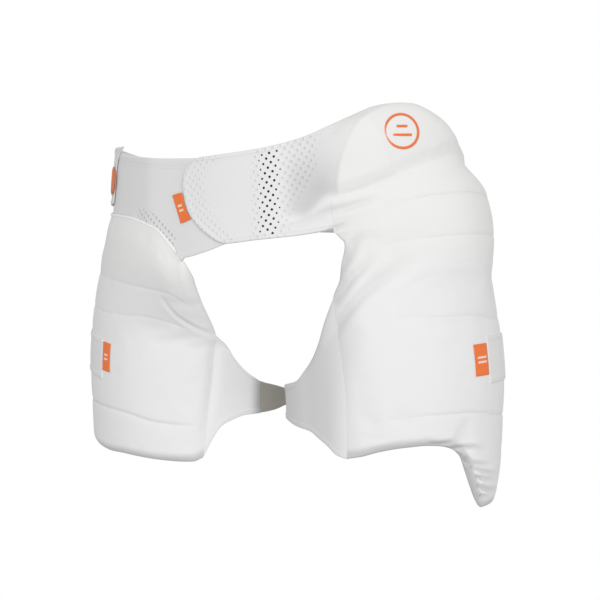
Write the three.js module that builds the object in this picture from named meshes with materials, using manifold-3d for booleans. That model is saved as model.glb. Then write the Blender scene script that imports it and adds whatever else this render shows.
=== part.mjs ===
// Lower-body cricket guard held as worn: belt, hip guard and two thigh guards.
// Millimetres and degrees. The wearer faces -Y, the wearer's left is +X and +Z is up.
// Waist angles run from the front towards the wearer's left, leg angles from the front outwards.
import * as THREE from 'three';
import loadManifold from 'manifold-3d';

const CLOTH = 2.5;
const WING_CLOTH = 3;
const GAP = 0.6;
const LAP = 0.5;
const LABEL = 1;
const LEG_RISE = 12;
const LEG_ARC = 1.85;
const WAIST_ARC = 2.9;
const PIPING_RADIUS = 1.4;
const PIPING_ABOVE_SEAM = 2.2;

const LEFT = 1;
const RIGHT = -1;

const CLOTH_WHITE = '#f1f1ee';
const FOAM_WHITE = '#f4f4f1';
const ELASTIC_GREY = '#dcdcdc';
const STRAP_BEIGE = '#cfc8bc';
const ORANGE = '#f0702c';

// The waist the belt lies on, as ellipses.
const WAIST_SECTIONS = [
  { z: -60, halfWidth: 207, halfDepth: 132 },
  { z: 0, halfWidth: 202, halfDepth: 128 },
  { z: 55, halfWidth: 197, halfDepth: 124 },
  { z: 110, halfWidth: 182, halfDepth: 112 },
];

// One thigh, as tilted ellipses set out from the middle of the body.
const LEG_SECTIONS = [
  { height: -290, out: 124, back: 10, halfWidth: 101, halfDepth: 101 },
  { height: -200, out: 124, back: 10, halfWidth: 101, halfDepth: 104 },
  { height: -120, out: 117, back: 9, halfWidth: 101, halfDepth: 107 },
  { height: -40, out: 106, back: 7, halfWidth: 101, halfDepth: 110 },
  { height: 40, out: 96, back: 4, halfWidth: 100, halfDepth: 112 },
];

// The top of each leg runs into the waist between these heights and angles.
const JOIN = { low: -140, high: -50, inner: -74, outer: -48, front: -10, flank: 50 };

// Level lines of the right pad: hem, three cross seams and the arched seam under the belt.
const RIGHT_LEVELS = [
  { angle: -48, hem: -248, low: -220, middle: -118, high: -88, top: -47 },
  { angle: -42, hem: -254, low: -220, middle: -115, high: -81, top: -41 },
  { angle: -36, hem: -259, low: -221, middle: -112, high: -76, top: -35 },
  { angle: -18, hem: -262, low: -222, middle: -108, high: -78, top: -21.5 },
  { angle: 6, hem: -264, low: -218, middle: -115, high: -81, top: -17.5 },
  { angle: 25, hem: -265, low: -215, middle: -119, high: -83, top: -20 },
  { angle: 60, hem: -263, low: -213, middle: -120, high: -84, top: -24 },
  { angle: 112, hem: -258, low: -212, middle: -120, high: -84, top: -24 },
];
const RIGHT_EDGES = [
  { height: -262, inner: -41, outer: 112 },
  { height: -225, inner: -43.5, outer: 112 },
  { height: -174, inner: -46.5, outer: 112 },
  { height: -135, inner: -47.5, outer: 112 },
  { height: -122, inner: -50, outer: 112 },
  { height: -95, inner: -52, outer: 112 },
  { height: -64, inner: -53.5, outer: 112 },
  { height: -54, inner: -52, outer: 112 },
  { height: -44, inner: -48.5, outer: 112 },
];

// Level lines of the left pad: hem with its rear tail, four cross seams and the hip seam.
const LEFT_LEVELS = [
  { angle: 10, hem: -245, low: -210, middle: -114, high: -54, shoulder: -29, top: 2 },
  { angle: 18, hem: -244, low: -210, middle: -114, high: -52, shoulder: -26.5, top: 4 },
  { angle: 28, hem: -241, low: -209.5, middle: -115, high: -49, shoulder: -18.5, top: 6.5 },
  { angle: 38, hem: -240, low: -209, middle: -115.5, high: -46, shoulder: -13, top: 11 },
  { angle: 48, hem: -238, low: -209, middle: -116.5, high: -43.5, shoulder: -8.5, top: 17 },
  { angle: 59, hem: -240, low: -209.5, middle: -118, high: -42, shoulder: -3, top: 24 },
  { angle: 67, hem: -246, low: -210.5, middle: -119, high: -41, shoulder: -1, top: 28.5 },
  { angle: 73, hem: -256, low: -211, middle: -119.5, high: -41, shoulder: -0.5, top: 31 },
  { angle: 77, hem: -271, low: -212, middle: -120, high: -41, shoulder: 0, top: 33 },
  { angle: 82, hem: -289, low: -213.5, middle: -121, high: -41, shoulder: 0, top: 35 },
  { angle: 87, hem: -303, low: -214.5, middle: -122, high: -41.5, shoulder: -1, top: 36.5 },
  { angle: 94, hem: -310.5, low: -217, middle: -124, high: -42.5, shoulder: -2, top: 36 },
  { angle: 105, hem: -309, low: -219.5, middle: -127, high: -44, shoulder: -6, top: 28 },
  { angle: 116, hem: -293, low: -221, middle: -128, high: -46, shoulder: -14, top: 12 },
  { angle: 125, hem: -262, low: -222, middle: -128, high: -48, shoulder: -24, top: -4 },
];
const LEFT_EDGES = [
  { height: -246, inner: 11.5, outer: 125 },
  { height: -200, inner: 11.5, outer: 125 },
  { height: -150, inner: 11.5, outer: 125 },
  { height: -110, inner: 10.5, outer: 125 },
  { height: -91, inner: 10, outer: 125 },
  { height: -73, inner: 14.5, outer: 125 },
  { height: -60, inner: 16.3, outer: 125 },
  { height: -40, inner: 19.4, outer: 125 },
  { height: -33, inner: 17, outer: 125 },
  { height: -27, inner: 14.6, outer: 125 },
  { height: -10, inner: 15.2, outer: 125 },
  { height: 6, inner: 16, outer: 125 },
];

// Creases pressed into the pads: from one point to another, in leg angle and height.
const RIGHT_FOLDS = [
  { fromAngle: -29, fromHeight: -86, toAngle: -34, toHeight: -99, depth: 3.5, width: 5 },
  { fromAngle: -34, fromHeight: -99, toAngle: -50, toHeight: -120, depth: 4, width: 5 },
  { fromAngle: -24, fromHeight: -98, toAngle: -46, toHeight: -130, depth: 1.5, width: 7 },
];
const LEFT_FOLDS = [
  { fromAngle: 17, fromHeight: -85, toAngle: 27, toHeight: -65, depth: 3.5, width: 6 },
  { fromAngle: 27, fromHeight: -65, toAngle: 39, toHeight: -59, depth: 2, width: 7 },
  { fromAngle: 13, fromHeight: -112, toAngle: 31, toHeight: -85, depth: 4, width: 5 },
  { fromAngle: 31, fromHeight: -85, toAngle: 52, toHeight: -60, depth: 3, width: 6 },
  { fromAngle: 19, fromHeight: -57, toAngle: 27, toHeight: -38, depth: 4, width: 6 },
  { fromAngle: 68, fromHeight: -245, toAngle: 83, toHeight: -247, depth: 3, width: 4 },
  { fromAngle: 72, fromHeight: -257, toAngle: 87, toHeight: -262, depth: 3, width: 4 },
  { fromAngle: 75, fromHeight: -268, toAngle: 93, toHeight: -274, depth: 3, width: 4 },
  { fromAngle: 82, fromHeight: -284, toAngle: 98, toHeight: -288, depth: 3, width: 4 },
];

// Foam thickness of each panel between two level lines, from the hem up.
const RIGHT_PAD = {
  panels: [11, 13, 12, 10],
  rim: 4,
  roll: { inner: 9, outer: 12, low: 10, top: 14 },
  channel: 2,
  channelWidth: 4,
  arc: LEG_ARC,
};
// The left pad's hip panels are built up over the flank.
const LEFT_FLANK = [
  { height: -126, extra: 0 },
  { height: -95, extra: 6 },
  { height: -45, extra: 15 },
  { height: -10, extra: 13 },
  { height: 30, extra: 2 },
];
const FLANK = { front: 40, full: 85 };
const LEFT_PAD = {
  panels: [12, 14, 13, 13, 11],
  rim: 4,
  roll: { inner: 14, outer: 12, low: 10, top: 26 },
  channel: 2,
  channelWidth: 4,
  arc: LEG_ARC,
};

// The cloth wings, from the strap end to the pad.
const RIGHT_WING = { strapEnd: -78, cloth: WING_CLOTH };
const RIGHT_WING_LEVELS = [
  { angle: -78, hem: -209, top: -175 },
  { angle: -67, hem: -210, top: -163 },
  { angle: -58, hem: -215, top: -147 },
  { angle: -52, hem: -221, top: -130 },
  { angle: -47, hem: -234, top: -122 },
  { angle: -42, hem: -253, top: -121 },
];
const LEFT_WING = { strapEnd: -75, cloth: WING_CLOTH };
const LEFT_WING_LEVELS = [
  { angle: -75, hem: -204, top: -174 },
  { angle: -45, hem: -208, top: -171 },
  { angle: -28, hem: -213.5, top: -168 },
  { angle: -15, hem: -218, top: -155 },
  { angle: -7.4, hem: -225, top: -144 },
  { angle: -0.7, hem: -232, top: -128 },
  { angle: 5.5, hem: -241, top: -107 },
  { angle: 11, hem: -245, top: -91 },
];

// Leg straps: level lines and the lift that carries them over the pad's rear edge.
const RIGHT_STRAP = [
  { angle: -255.6, hem: -190, top: -147, lift: 15.5 },
  { angle: -245, hem: -190, top: -147, lift: 13 },
  { angle: -225, hem: -192, top: -154, lift: 5 },
  { angle: -210, hem: -200, top: -168, lift: 1.5 },
  { angle: -195, hem: -212, top: -188, lift: 0 },
  { angle: -180, hem: -224, top: -203, lift: 0 },
  { angle: -160, hem: -224, top: -204, lift: 0 },
  { angle: -140, hem: -218, top: -199, lift: 0 },
  { angle: -120, hem: -210, top: -193, lift: 0 },
  { angle: -105, hem: -206, top: -187, lift: 0 },
  { angle: -90, hem: -208, top: -180, lift: 0 },
  { angle: -78, hem: -209, top: -175, lift: 0 },
];
const LEFT_STRAP = [
  { angle: -242.1, hem: -187, top: -141, lift: 16.5 },
  { angle: -231, hem: -187, top: -141, lift: 13 },
  { angle: -212, hem: -186, top: -143, lift: 5 },
  { angle: -190, hem: -188, top: -148, lift: 0 },
  { angle: -140, hem: -196, top: -162, lift: 0 },
  { angle: -75, hem: -204, top: -174, lift: 0 },
];

// Flat ends lying on the pads: leg angles and heights of their corners.
const RIGHT_TAB = { from: 21, to: 104, hem: -190, top: -147, cloth: CLOTH };
const LEFT_TAB = { from: 90.6, to: 117.5, hem: -187, top: -141, cloth: CLOTH };
const RIGHT_LABEL = { from: 13.4, to: 20.7, hem: -180, top: -149, cloth: LABEL };
const LEFT_LABEL = { from: 79.4, to: 90.3, hem: -178.5, top: -147.5, cloth: LABEL };

// Belt under the tab: its lower edge follows the right pad's arch where they meet.
const BELT = { from: -231.6, to: 14, corner: -8.6, seamEnd: -112 };
const BELT_LEVELS = [
  { angle: -232, hem: 4, top: 41 },
  { angle: -215, hem: -20, top: 42 },
  { angle: -180, hem: -35, top: 42 },
  { angle: -140, hem: -33, top: 42 },
  { angle: -112, hem: -14, top: 44 },
  { angle: -80, hem: -14, top: 50 },
  { angle: -60, hem: -14, top: 54 },
  { angle: -39, hem: -16, top: 50 },
  { angle: -18, hem: -28, top: 46.5 },
  { angle: -9, hem: -53, top: 46.5 },
  { angle: 0, hem: -46, top: 47 },
  { angle: 7, hem: -37.5, top: 48 },
  { angle: 14, hem: -33, top: 50 },
];

// Front closure tab: rounded free end, fixed end at the hip guard, raised where it laps the belt.
const CLOSURE = { cloth: CLOTH, lapEnd: 18, flushFrom: 30, fixedEnd: 39.2 };
const CLOSURE_END = [
  { height: -38, inner: 7 },
  { height: -34, inner: 3.4 },
  { height: -17, inner: -3.8 },
  { height: 0, inner: -7.4 },
  { height: 24, inner: -9 },
  { height: 37, inner: -7.7 },
  { height: 47, inner: -3 },
];
const CLOSURE_LEVELS = [
  { angle: -9, hem: -40, top: 45 },
  { angle: 7, hem: -37.8, top: 51 },
  { angle: 17, hem: -33.5, top: 55.5 },
  { angle: 23.4, hem: -31, top: 60 },
  { angle: 29.4, hem: -28.5, top: 65.7 },
  { angle: 39.2, hem: -23, top: 77.5 },
];
const HOLES = { centre: 20.6, low: -26, rows: 14, across: 4, rowPitch: 5.9, pitch: 5.6, radius: 1.3 };

// Small orange label sewn to the rounded end.
const BELT_LABEL_EDGES = [
  { height: -19, inner: -9.4, outer: -3.6 },
  { height: -14, inner: -10, outer: -5.4 },
  { height: 0, inner: -12, outer: -8 },
  { height: 13, inner: -13.8, outer: -9.4 },
];
const BELT_LABEL_LEVELS = [
  { angle: -14, hem: -22, top: 9 },
  { angle: -9.4, hem: -19, top: 12.4 },
  { angle: -5, hem: -14, top: 14 },
];

// Second tab, at the wearer's right side of the belt.
const SIDE_TAB_LEVELS = [
  { angle: -128, hem: 2, top: 30, lift: 0 },
  { angle: -104, hem: -4, top: 44, lift: 1.5 },
  { angle: -72, hem: -8, top: 57, lift: 2.5 },
  { angle: -49, hem: -5, top: 59, lift: 0.5 },
];
const SIDE_TAB = { from: -128, to: -49, cloth: CLOTH };

// Hip guard: lower edge on the left pad's top seam, D-shaped foam edge at the front.
const HIP = { from: 39.2, to: 128, cloth: 3.5 };
const HIP_TOP = [
  { angle: 39, top: 77.5 },
  { angle: 49.6, top: 90.2 },
  { angle: 54.3, top: 95 },
  { angle: 60, top: 97.6 },
  { angle: 66, top: 98.6 },
  { angle: 70.6, top: 98 },
  { angle: 75.4, top: 94.6 },
  { angle: 80.4, top: 89 },
  { angle: 86, top: 82 },
  { angle: 92, top: 71 },
  { angle: 98, top: 61.5 },
  { angle: 106, top: 52 },
  { angle: 128, top: 41.5 },
];
const HIP_FOAM_EDGE = [
  { height: 5, angle: 41 },
  { height: 20, angle: 41 },
  { height: 35, angle: 41.6 },
  { height: 44, angle: 42.3 },
  { height: 58, angle: 44 },
  { height: 68, angle: 45.8 },
  { height: 77, angle: 48 },
  { height: 82, angle: 50 },
  { height: 86, angle: 53 },
  { height: 95, angle: 60 },
];
const HIP_FOAM = { dome: 9, step: 1.6, rimTop: 16, rimLow: 12, rimRear: 70, rear: 97 };
const HIP_PANEL = { raise: 2, to: 57, step: 4 };

const HIP_BADGE = { angle: 63.2, height: 69, radius: 18.2, bore: 16 };
const SIDE_BADGE = { angle: -57, height: 23, radius: 15 };

const radians = THREE.MathUtils.degToRad;
const clamp = THREE.MathUtils.clamp;
const lerp = THREE.MathUtils.lerp;

function smooth(x) {
  const t = clamp(x, 0, 1);
  return t * t * (3 - 2 * t);
}

// A curve through the rows of a table that never swings past them.
function curve(rows, by, column) {
  const xs = rows.map((row) => row[by]);
  const ys = rows.map((row) => row[column]);
  const last = xs.length - 1;
  const rise = xs.slice(1).map((x, i) => (ys[i + 1] - ys[i]) / (x - xs[i]));
  const slope = xs.map((x, i) => {
    if (i === 0) return rise[0];
    if (i === last) return rise[last - 1];
    const product = rise[i - 1] * rise[i];
    return product > 0 ? (2 * product) / (rise[i - 1] + rise[i]) : 0;
  });
  return (value) => {
    const x = clamp(value, xs[0], xs[last]);
    let i = 0;
    while (i < last - 1 && x > xs[i + 1]) i += 1;
    const step = xs[i + 1] - xs[i];
    const t = (x - xs[i]) / step;
    const start = (2 * t ** 3 - 3 * t ** 2 + 1) * ys[i] + (t ** 3 - 2 * t ** 2 + t) * step * slope[i];
    const end = (3 * t ** 2 - 2 * t ** 3) * ys[i + 1] + (t ** 3 - t ** 2) * step * slope[i + 1];
    return start + end;
  };
}

function curves(rows, by, columns) {
  const lines = columns.map((column) => curve(rows, by, column));
  return (value) => lines.map((line) => line(value));
}

const waistSize = curves(WAIST_SECTIONS, 'z', ['halfWidth', 'halfDepth']);
const legSize = curves(LEG_SECTIONS, 'height', ['out', 'back', 'halfWidth', 'halfDepth']);

function waist(angle, z) {
  const [halfWidth, halfDepth] = waistSize(z);
  const turn = radians(angle);
  return new THREE.Vector3(halfWidth * Math.sin(turn), -halfDepth * Math.cos(turn), z);
}

function waistAngle(point) {
  const [halfWidth, halfDepth] = waistSize(point.z);
  return THREE.MathUtils.radToDeg(Math.atan2(point.x / halfWidth, -point.y / halfDepth));
}

// The move that brings a point out onto the waist: forwards only, or sideways as well.
function ontoWaist(point, sideways) {
  const [a, b] = waistSize(point.z);
  const out = new THREE.Vector2((sideways * point.x) / a ** 2, point.y / b ** 2).normalize();
  const square = (out.x / a) ** 2 + (out.y / b) ** 2;
  const half = (point.x * out.x) / a ** 2 + (point.y * out.y) / b ** 2;
  const rest = (point.x / a) ** 2 + (point.y / b) ** 2 - 1;
  const way = (-half + Math.sqrt(Math.max(half ** 2 - square * rest, 0))) / square;
  return new THREE.Vector3(out.x * way, out.y * way, 0);
}

function leg(side) {
  return (angle, height) => {
    const [out, back, halfWidth, halfDepth] = legSize(height);
    const across = Math.sin(radians(angle));
    const along = Math.cos(radians(angle));
    const x = side * (out + halfWidth * across);
    const point = new THREE.Vector3(x, back - halfDepth * along, height + LEG_RISE * across);
    const turn = ((angle + 540) % 360) - 180;
    const round = smooth((turn - JOIN.inner) / (JOIN.outer - JOIN.inner));
    const up = smooth((height - JOIN.low) / (JOIN.high - JOIN.low));
    const sideways = smooth((turn - JOIN.front) / (JOIN.flank - JOIN.front));
    return point.addScaledVector(ontoWaist(point, sideways), round * up);
  };
}

function outward(surface, angle, height, side) {
  const step = 0.05;
  const round = surface(angle + step, height).sub(surface(angle - step, height));
  const up = surface(angle, height + step).sub(surface(angle, height - step));
  return round.cross(up).multiplyScalar(side).normalize();
}

function lifted(surface, side, angle, height, offset) {
  return surface(angle, height).addScaledVector(outward(surface, angle, height, side), offset);
}

// Patch between two upright edges and several level lines; v counts the level lines.
function patch(edges, levels, arc) {
  return (u, v) => {
    let height = 0;
    let angle = lerp(...edges(height), u);
    for (let turn = 0; turn < 8; turn += 1) {
      const lines = levels(angle);
      lines[0] += GAP / 2;
      lines[lines.length - 1] -= GAP / 2;
      const line = Math.min(Math.floor(v), lines.length - 2);
      height = lerp(lines[line], lines[line + 1], v - line);
      const [inner, outer] = edges(height);
      angle = lerp(inner + GAP / 2 / arc, outer - GAP / 2 / arc, u);
    }
    return { angle, height };
  };
}

function plainEdges(from, to) {
  return () => [from, to];
}

// Closed body between an outer and an inner grid of points.
function closedShell(outer, inner, side, ring) {
  const columns = outer.length;
  const rows = outer[0].length;
  const all = [...outer.flat(), ...inner.flat()];
  const place = (i, j, face) => face * columns * rows + (i % columns) * rows + j;
  const index = [];
  const quad = (a, b, c, d) => index.push(...(side > 0 ? [a, b, c, a, c, d] : [a, c, b, a, d, c]));
  const spans = ring ? columns : columns - 1;
  for (let i = 0; i < spans; i += 1) {
    for (let j = 0; j < rows - 1; j += 1) {
      quad(place(i, j, 0), place(i + 1, j, 0), place(i + 1, j + 1, 0), place(i, j + 1, 0));
      quad(place(i, j, 1), place(i, j + 1, 1), place(i + 1, j + 1, 1), place(i + 1, j, 1));
    }
    quad(place(i, 0, 1), place(i + 1, 0, 1), place(i + 1, 0, 0), place(i, 0, 0));
    const top = rows - 1;
    quad(place(i, top, 0), place(i + 1, top, 0), place(i + 1, top, 1), place(i, top, 1));
  }
  for (let j = 0; j < rows - 1 && !ring; j += 1) {
    quad(place(0, j, 1), place(0, j, 0), place(0, j + 1, 0), place(0, j + 1, 1));
    const end = columns - 1;
    quad(place(end, j, 0), place(end, j, 1), place(end, j + 1, 1), place(end, j + 1, 0));
  }
  const geometry = new THREE.BufferGeometry();
  const positions = all.flatMap((point) => [point.x, point.y, point.z]);
  geometry.setAttribute('position', new THREE.Float32BufferAttribute(positions, 3));
  geometry.setIndex(index);
  return geometry;
}

function shell({ surface, side, at, us, vs, outer, inner }) {
  const grid = (offset) => us.map((u) => vs.map((v) => {
    const { angle, height } = at(u, v);
    return lifted(surface, side, angle, height, offset(angle, height));
  }));
  return closedShell(grid(outer), grid(inner), side, false);
}

function evenly(count, from = 0, to = 1) {
  return Array.from({ length: count + 1 }, (unused, i) => lerp(from, to, i / count));
}

// Stations that crowd near both ends, where the foam rolls down to its rim.
function rolledStations(count) {
  const inside = evenly(count, 0.07, 0.93);
  return [0, 0.012, 0.035, ...inside, 0.965, 0.988, 1];
}

// Stations on either side of every seam.
function seamStations(panels, inside) {
  const beside = 0.1;
  const each = evenly(inside, beside, 1 - beside);
  const rows = Array.from({ length: panels }, (unused, panel) => each.map((share) => panel + share));
  const seams = evenly(panels, 0, panels);
  return [...rows.flat(), ...seams, 0.03, panels - 0.03].sort((a, b) => a - b);
}

function quarterRound(x) {
  const t = clamp(x, 0, 1);
  return Math.sqrt(1 - (1 - t) ** 2);
}

function creaseDepth(folds, angle, height, arc) {
  let depth = 0;
  for (const fold of folds) {
    const from = new THREE.Vector2(fold.fromAngle * arc, fold.fromHeight);
    const run = new THREE.Vector2(fold.toAngle * arc, fold.toHeight).sub(from);
    const reach = new THREE.Vector2(angle * arc, height).sub(from);
    const share = clamp(reach.dot(run) / run.lengthSq(), 0, 1);
    const away = reach.addScaledVector(run, -share).length();
    depth += fold.depth * Math.exp(-((away / fold.width) ** 2));
  }
  return depth;
}

// Thickness of a quilted pad: rolled rim, pillowed panels, pressed seams and creases.
function quiltThickness(pad, edges, levels, folds) {
  return (angle, height) => {
    const [inner, outer] = edges(height);
    const lines = levels(angle);
    const top = lines.length - 1;
    let panel = 0;
    while (panel < top - 1 && height > lines[panel + 1]) panel += 1;
    const share = clamp((height - lines[panel]) / (lines[panel + 1] - lines[panel]), 0, 1);
    const beside = clamp(panel + (share < 0.5 ? -1 : 1), 0, top - 1);
    const foam = lerp(pad.panels[panel], pad.panels[beside], Math.abs(share - 0.5));
    const rolls = [
      quarterRound(((angle - inner) * pad.arc) / pad.roll.inner),
      quarterRound(((outer - angle) * pad.arc) / pad.roll.outer),
      quarterRound((height - lines[0]) / pad.roll.low),
      quarterRound((lines[top] - height) / pad.roll.top),
    ];
    const body = pad.rim + (foam - pad.rim) * rolls.reduce((a, b) => a * b);
    const nearSeam = (line) => Math.exp(-(((height - line) / pad.channelWidth) ** 2));
    const seams = lines.slice(1, top).map(nearSeam).reduce((a, b) => a + b, 0);
    const pressed = pad.channel * seams * rolls[0] * rolls[1];
    const pillow = Math.sin(Math.PI * share) * rolls[0] * rolls[1];
    return Math.max(body + pillow - pressed - creaseDepth(folds, angle, height, pad.arc), pad.rim);
  };
}

const flat = (offset) => () => offset;

const group = new THREE.Group();
group.name = 'cricket_lower_body_guard';

function add(name, geometry, color, roughness) {
  geometry.computeVertexNormals();
  const mesh = new THREE.Mesh(geometry, new THREE.MeshStandardMaterial({ color, roughness }));
  mesh.name = name;
  group.add(mesh);
}

const rightLeg = leg(RIGHT);
const leftLeg = leg(LEFT);
const rightEdges = curves(RIGHT_EDGES, 'height', ['inner', 'outer']);
const rightLevels = curves(RIGHT_LEVELS, 'angle', ['hem', 'low', 'middle', 'high', 'top']);
const rightThickness = quiltThickness(RIGHT_PAD, rightEdges, rightLevels, RIGHT_FOLDS);
const leftEdges = curves(LEFT_EDGES, 'height', ['inner', 'outer']);
const leftLevels = curves(LEFT_LEVELS, 'angle', ['hem', 'low', 'middle', 'high', 'shoulder', 'top']);
const leftQuilt = quiltThickness(LEFT_PAD, leftEdges, leftLevels, LEFT_FOLDS);
const leftFlank = curve(LEFT_FLANK, 'height', 'extra');
const leftThickness = (angle, height) => {
  const top = leftLevels(angle)[LEFT_PAD.panels.length];
  const rear = leftEdges(height)[1];
  const rolled = quarterRound((top - height) / LEFT_PAD.roll.top);
  const ended = quarterRound(((rear - angle) * LEG_ARC) / (3 * LEFT_PAD.roll.outer));
  const flank = smooth((angle - FLANK.front) / (FLANK.full - FLANK.front));
  return leftQuilt(angle, height) + leftFlank(height) * flank * rolled * ended;
};

// A pad's top seam, read as a height on the waist.
function seamOnWaist(surface, levels, from, to) {
  const count = 60;
  const rows = evenly(count, from, to).map((angle) => {
    const lines = levels(angle);
    const point = surface(angle, lines[lines.length - 1]);
    return { angle: waistAngle(point), z: point.z };
  });
  return curve(rows.sort((a, b) => a.angle - b.angle), 'angle', 'z');
}
const rightSeam = seamOnWaist(rightLeg, rightLevels, -47.5, 112);
const leftSeam = seamOnWaist(leftLeg, leftLevels, 15, 125);

function addPad(name, side, surface, edges, levels, thickness, pad, columns, inside) {
  const at = patch(edges, levels, pad.arc);
  const us = rolledStations(columns);
  const vs = seamStations(pad.panels.length, inside);
  add(name, shell({ surface, side, at, us, vs, outer: thickness, inner: flat(0) }), FOAM_WHITE, 0.9);
}
addPad('right_thigh_pad', RIGHT, rightLeg, rightEdges, rightLevels, rightThickness, RIGHT_PAD, 16, 2);
addPad('left_thigh_pad', LEFT, leftLeg, leftEdges, leftLevels, leftThickness, LEFT_PAD, 17, 2);

function addWing(name, side, surface, wing, rows, padEdges) {
  const edges = (height) => [wing.strapEnd, padEdges(height)[0]];
  const at = patch(edges, curves(rows, 'angle', ['hem', 'top']), LEG_ARC);
  const parts = { surface, side, at, us: evenly(9), vs: evenly(7) };
  add(name, shell({ ...parts, outer: flat(wing.cloth), inner: flat(0) }), CLOTH_WHITE, 0.9);
}
addWing('right_inner_wing', RIGHT, rightLeg, RIGHT_WING, RIGHT_WING_LEVELS, rightEdges);
addWing('left_inner_wing', LEFT, leftLeg, LEFT_WING, LEFT_WING_LEVELS, leftEdges);

function addStrap(name, side, surface, rows) {
  const edges = plainEdges(rows[0].angle, rows[rows.length - 1].angle);
  const at = patch(edges, curves(rows, 'angle', ['hem', 'top']), LEG_ARC);
  const lift = curve(rows, 'angle', 'lift');
  const parts = { surface, side, at, us: evenly(28), vs: evenly(2) };
  const outer = (angle) => lift(angle) + CLOTH;
  add(name, shell({ ...parts, outer, inner: lift }), STRAP_BEIGE, 0.85);
}
addStrap('right_leg_strap', RIGHT, rightLeg, RIGHT_STRAP);
addStrap('left_leg_strap', LEFT, leftLeg, LEFT_STRAP);

// A thin flat piece lying on a pad.
function addOnPad(name, side, surface, thickness, piece, columns, color) {
  const at = patch(plainEdges(piece.from, piece.to), () => [piece.hem, piece.top], LEG_ARC);
  const inner = (angle, height) => thickness(angle, height) + LAP;
  const outer = (angle, height) => inner(angle, height) + piece.cloth;
  const parts = { surface, side, at, us: evenly(columns), vs: evenly(4) };
  add(name, shell({ ...parts, outer, inner }), color, 0.85);
}
addOnPad('right_strap_tab', RIGHT, rightLeg, rightThickness, RIGHT_TAB, 16, CLOTH_WHITE);
addOnPad('left_strap_tab', LEFT, leftLeg, leftThickness, LEFT_TAB, 6, CLOTH_WHITE);
addOnPad('right_pull_tab', RIGHT, rightLeg, rightThickness, RIGHT_LABEL, 3, ORANGE);
addOnPad('left_pull_tab', LEFT, leftLeg, leftThickness, LEFT_LABEL, 3, ORANGE);

// Belt round the back and the wearer's right side.
const beltLevels = (angle) => {
  const [hem, top] = curves(BELT_LEVELS, 'angle', ['hem', 'top'])(angle);
  const onSeam = angle > BELT.seamEnd && angle < BELT.corner;
  return [onSeam ? rightSeam(angle) + 2 * GAP : hem, top];
};
const beltStations = [
  ...evenly(13, BELT.from, BELT.seamEnd - 1),
  ...evenly(11, BELT.seamEnd, -50),
  ...evenly(16, -47, BELT.corner),
  ...evenly(4, BELT.corner + 3, BELT.to),
];
add('waist_belt', shell({
  surface: waist,
  side: LEFT,
  at: patch(plainEdges(BELT.from, BELT.to), beltLevels, WAIST_ARC),
  us: beltStations.map((angle) => (angle - BELT.from) / (BELT.to - BELT.from)),
  vs: evenly(3),
  outer: flat(CLOTH),
  inner: flat(0),
}), ELASTIC_GREY, 0.9);

// Front closure tab with its band of through holes.
const closureEnd = curve(CLOSURE_END, 'height', 'inner');
const closureLevels = curves(CLOSURE_LEVELS, 'angle', ['hem', 'top']);
const closureLift = (angle) => {
  const flush = smooth((angle - CLOSURE.lapEnd) / (CLOSURE.flushFrom - CLOSURE.lapEnd));
  return lerp(CLOTH + LAP, 0, flush);
};
const closureBlank = shell({
  surface: waist,
  side: LEFT,
  at: patch((height) => [closureEnd(height), CLOSURE.fixedEnd], closureLevels, WAIST_ARC),
  us: [0, 0.04, ...evenly(9, 0.12, 1)],
  vs: [0, 0.03, 0.1, ...evenly(3, 0.25, 0.75), 0.9, 0.97, 1],
  outer: (angle) => closureLift(angle) + CLOSURE.cloth,
  inner: closureLift,
});

function holePrism(angle, z) {
  const normal = outward(waist, angle, z, LEFT);
  const prism = new THREE.CylinderGeometry(HOLES.radius, HOLES.radius, 8 * CLOTH, 6);
  const turn = new THREE.Quaternion().setFromUnitVectors(new THREE.Vector3(0, 1, 0), normal);
  const centre = lifted(waist, LEFT, angle, z, CLOTH);
  return prism.applyQuaternion(turn).translate(centre.x, centre.y, centre.z);
}

const solids = await loadManifold();
solids.setup();

function toSolid(geometry) {
  const mesh = new solids.Mesh({
    numProp: 3,
    vertProperties: new Float32Array(geometry.getAttribute('position').array),
    triVerts: new Uint32Array(geometry.getIndex().array),
  });
  mesh.merge();
  return new solids.Manifold(mesh);
}

function fromSolid(solid) {
  const mesh = solid.getMesh();
  const geometry = new THREE.BufferGeometry();
  geometry.setAttribute('position', new THREE.Float32BufferAttribute(mesh.vertProperties, 3));
  geometry.setIndex([...mesh.triVerts]);
  return geometry;
}

let closure = toSolid(closureBlank);
for (let row = 0; row < HOLES.rows; row += 1) {
  const across = HOLES.across - (row % 2);
  for (let column = 0; column < across; column += 1) {
    const side = (column - (across - 1) / 2) * HOLES.pitch;
    const z = HOLES.low + row * HOLES.rowPitch;
    closure = closure.subtract(toSolid(holePrism(HOLES.centre + side / WAIST_ARC, z)));
  }
}
add('closure_tab', fromSolid(closure), CLOTH_WHITE, 0.9);

add('belt_pull_tab', shell({
  surface: waist,
  side: LEFT,
  at: patch(
    curves(BELT_LABEL_EDGES, 'height', ['inner', 'outer']),
    curves(BELT_LABEL_LEVELS, 'angle', ['hem', 'top']),
    WAIST_ARC,
  ),
  us: evenly(3),
  vs: evenly(6),
  outer: flat(CLOTH + LAP + LABEL),
  inner: flat(CLOTH + LAP),
}), ORANGE, 0.7);

const sideLift = curve(SIDE_TAB_LEVELS, 'angle', 'lift');
const sideInner = (angle) => CLOTH + LAP + sideLift(angle);
add('side_tab', shell({
  surface: waist,
  side: LEFT,
  at: patch(
    plainEdges(SIDE_TAB.from, SIDE_TAB.to),
    curves(SIDE_TAB_LEVELS, 'angle', ['hem', 'top']),
    WAIST_ARC,
  ),
  us: evenly(14),
  vs: evenly(4),
  outer: (angle) => sideInner(angle) + SIDE_TAB.cloth,
  inner: sideInner,
}), CLOTH_WHITE, 0.9);

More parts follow.
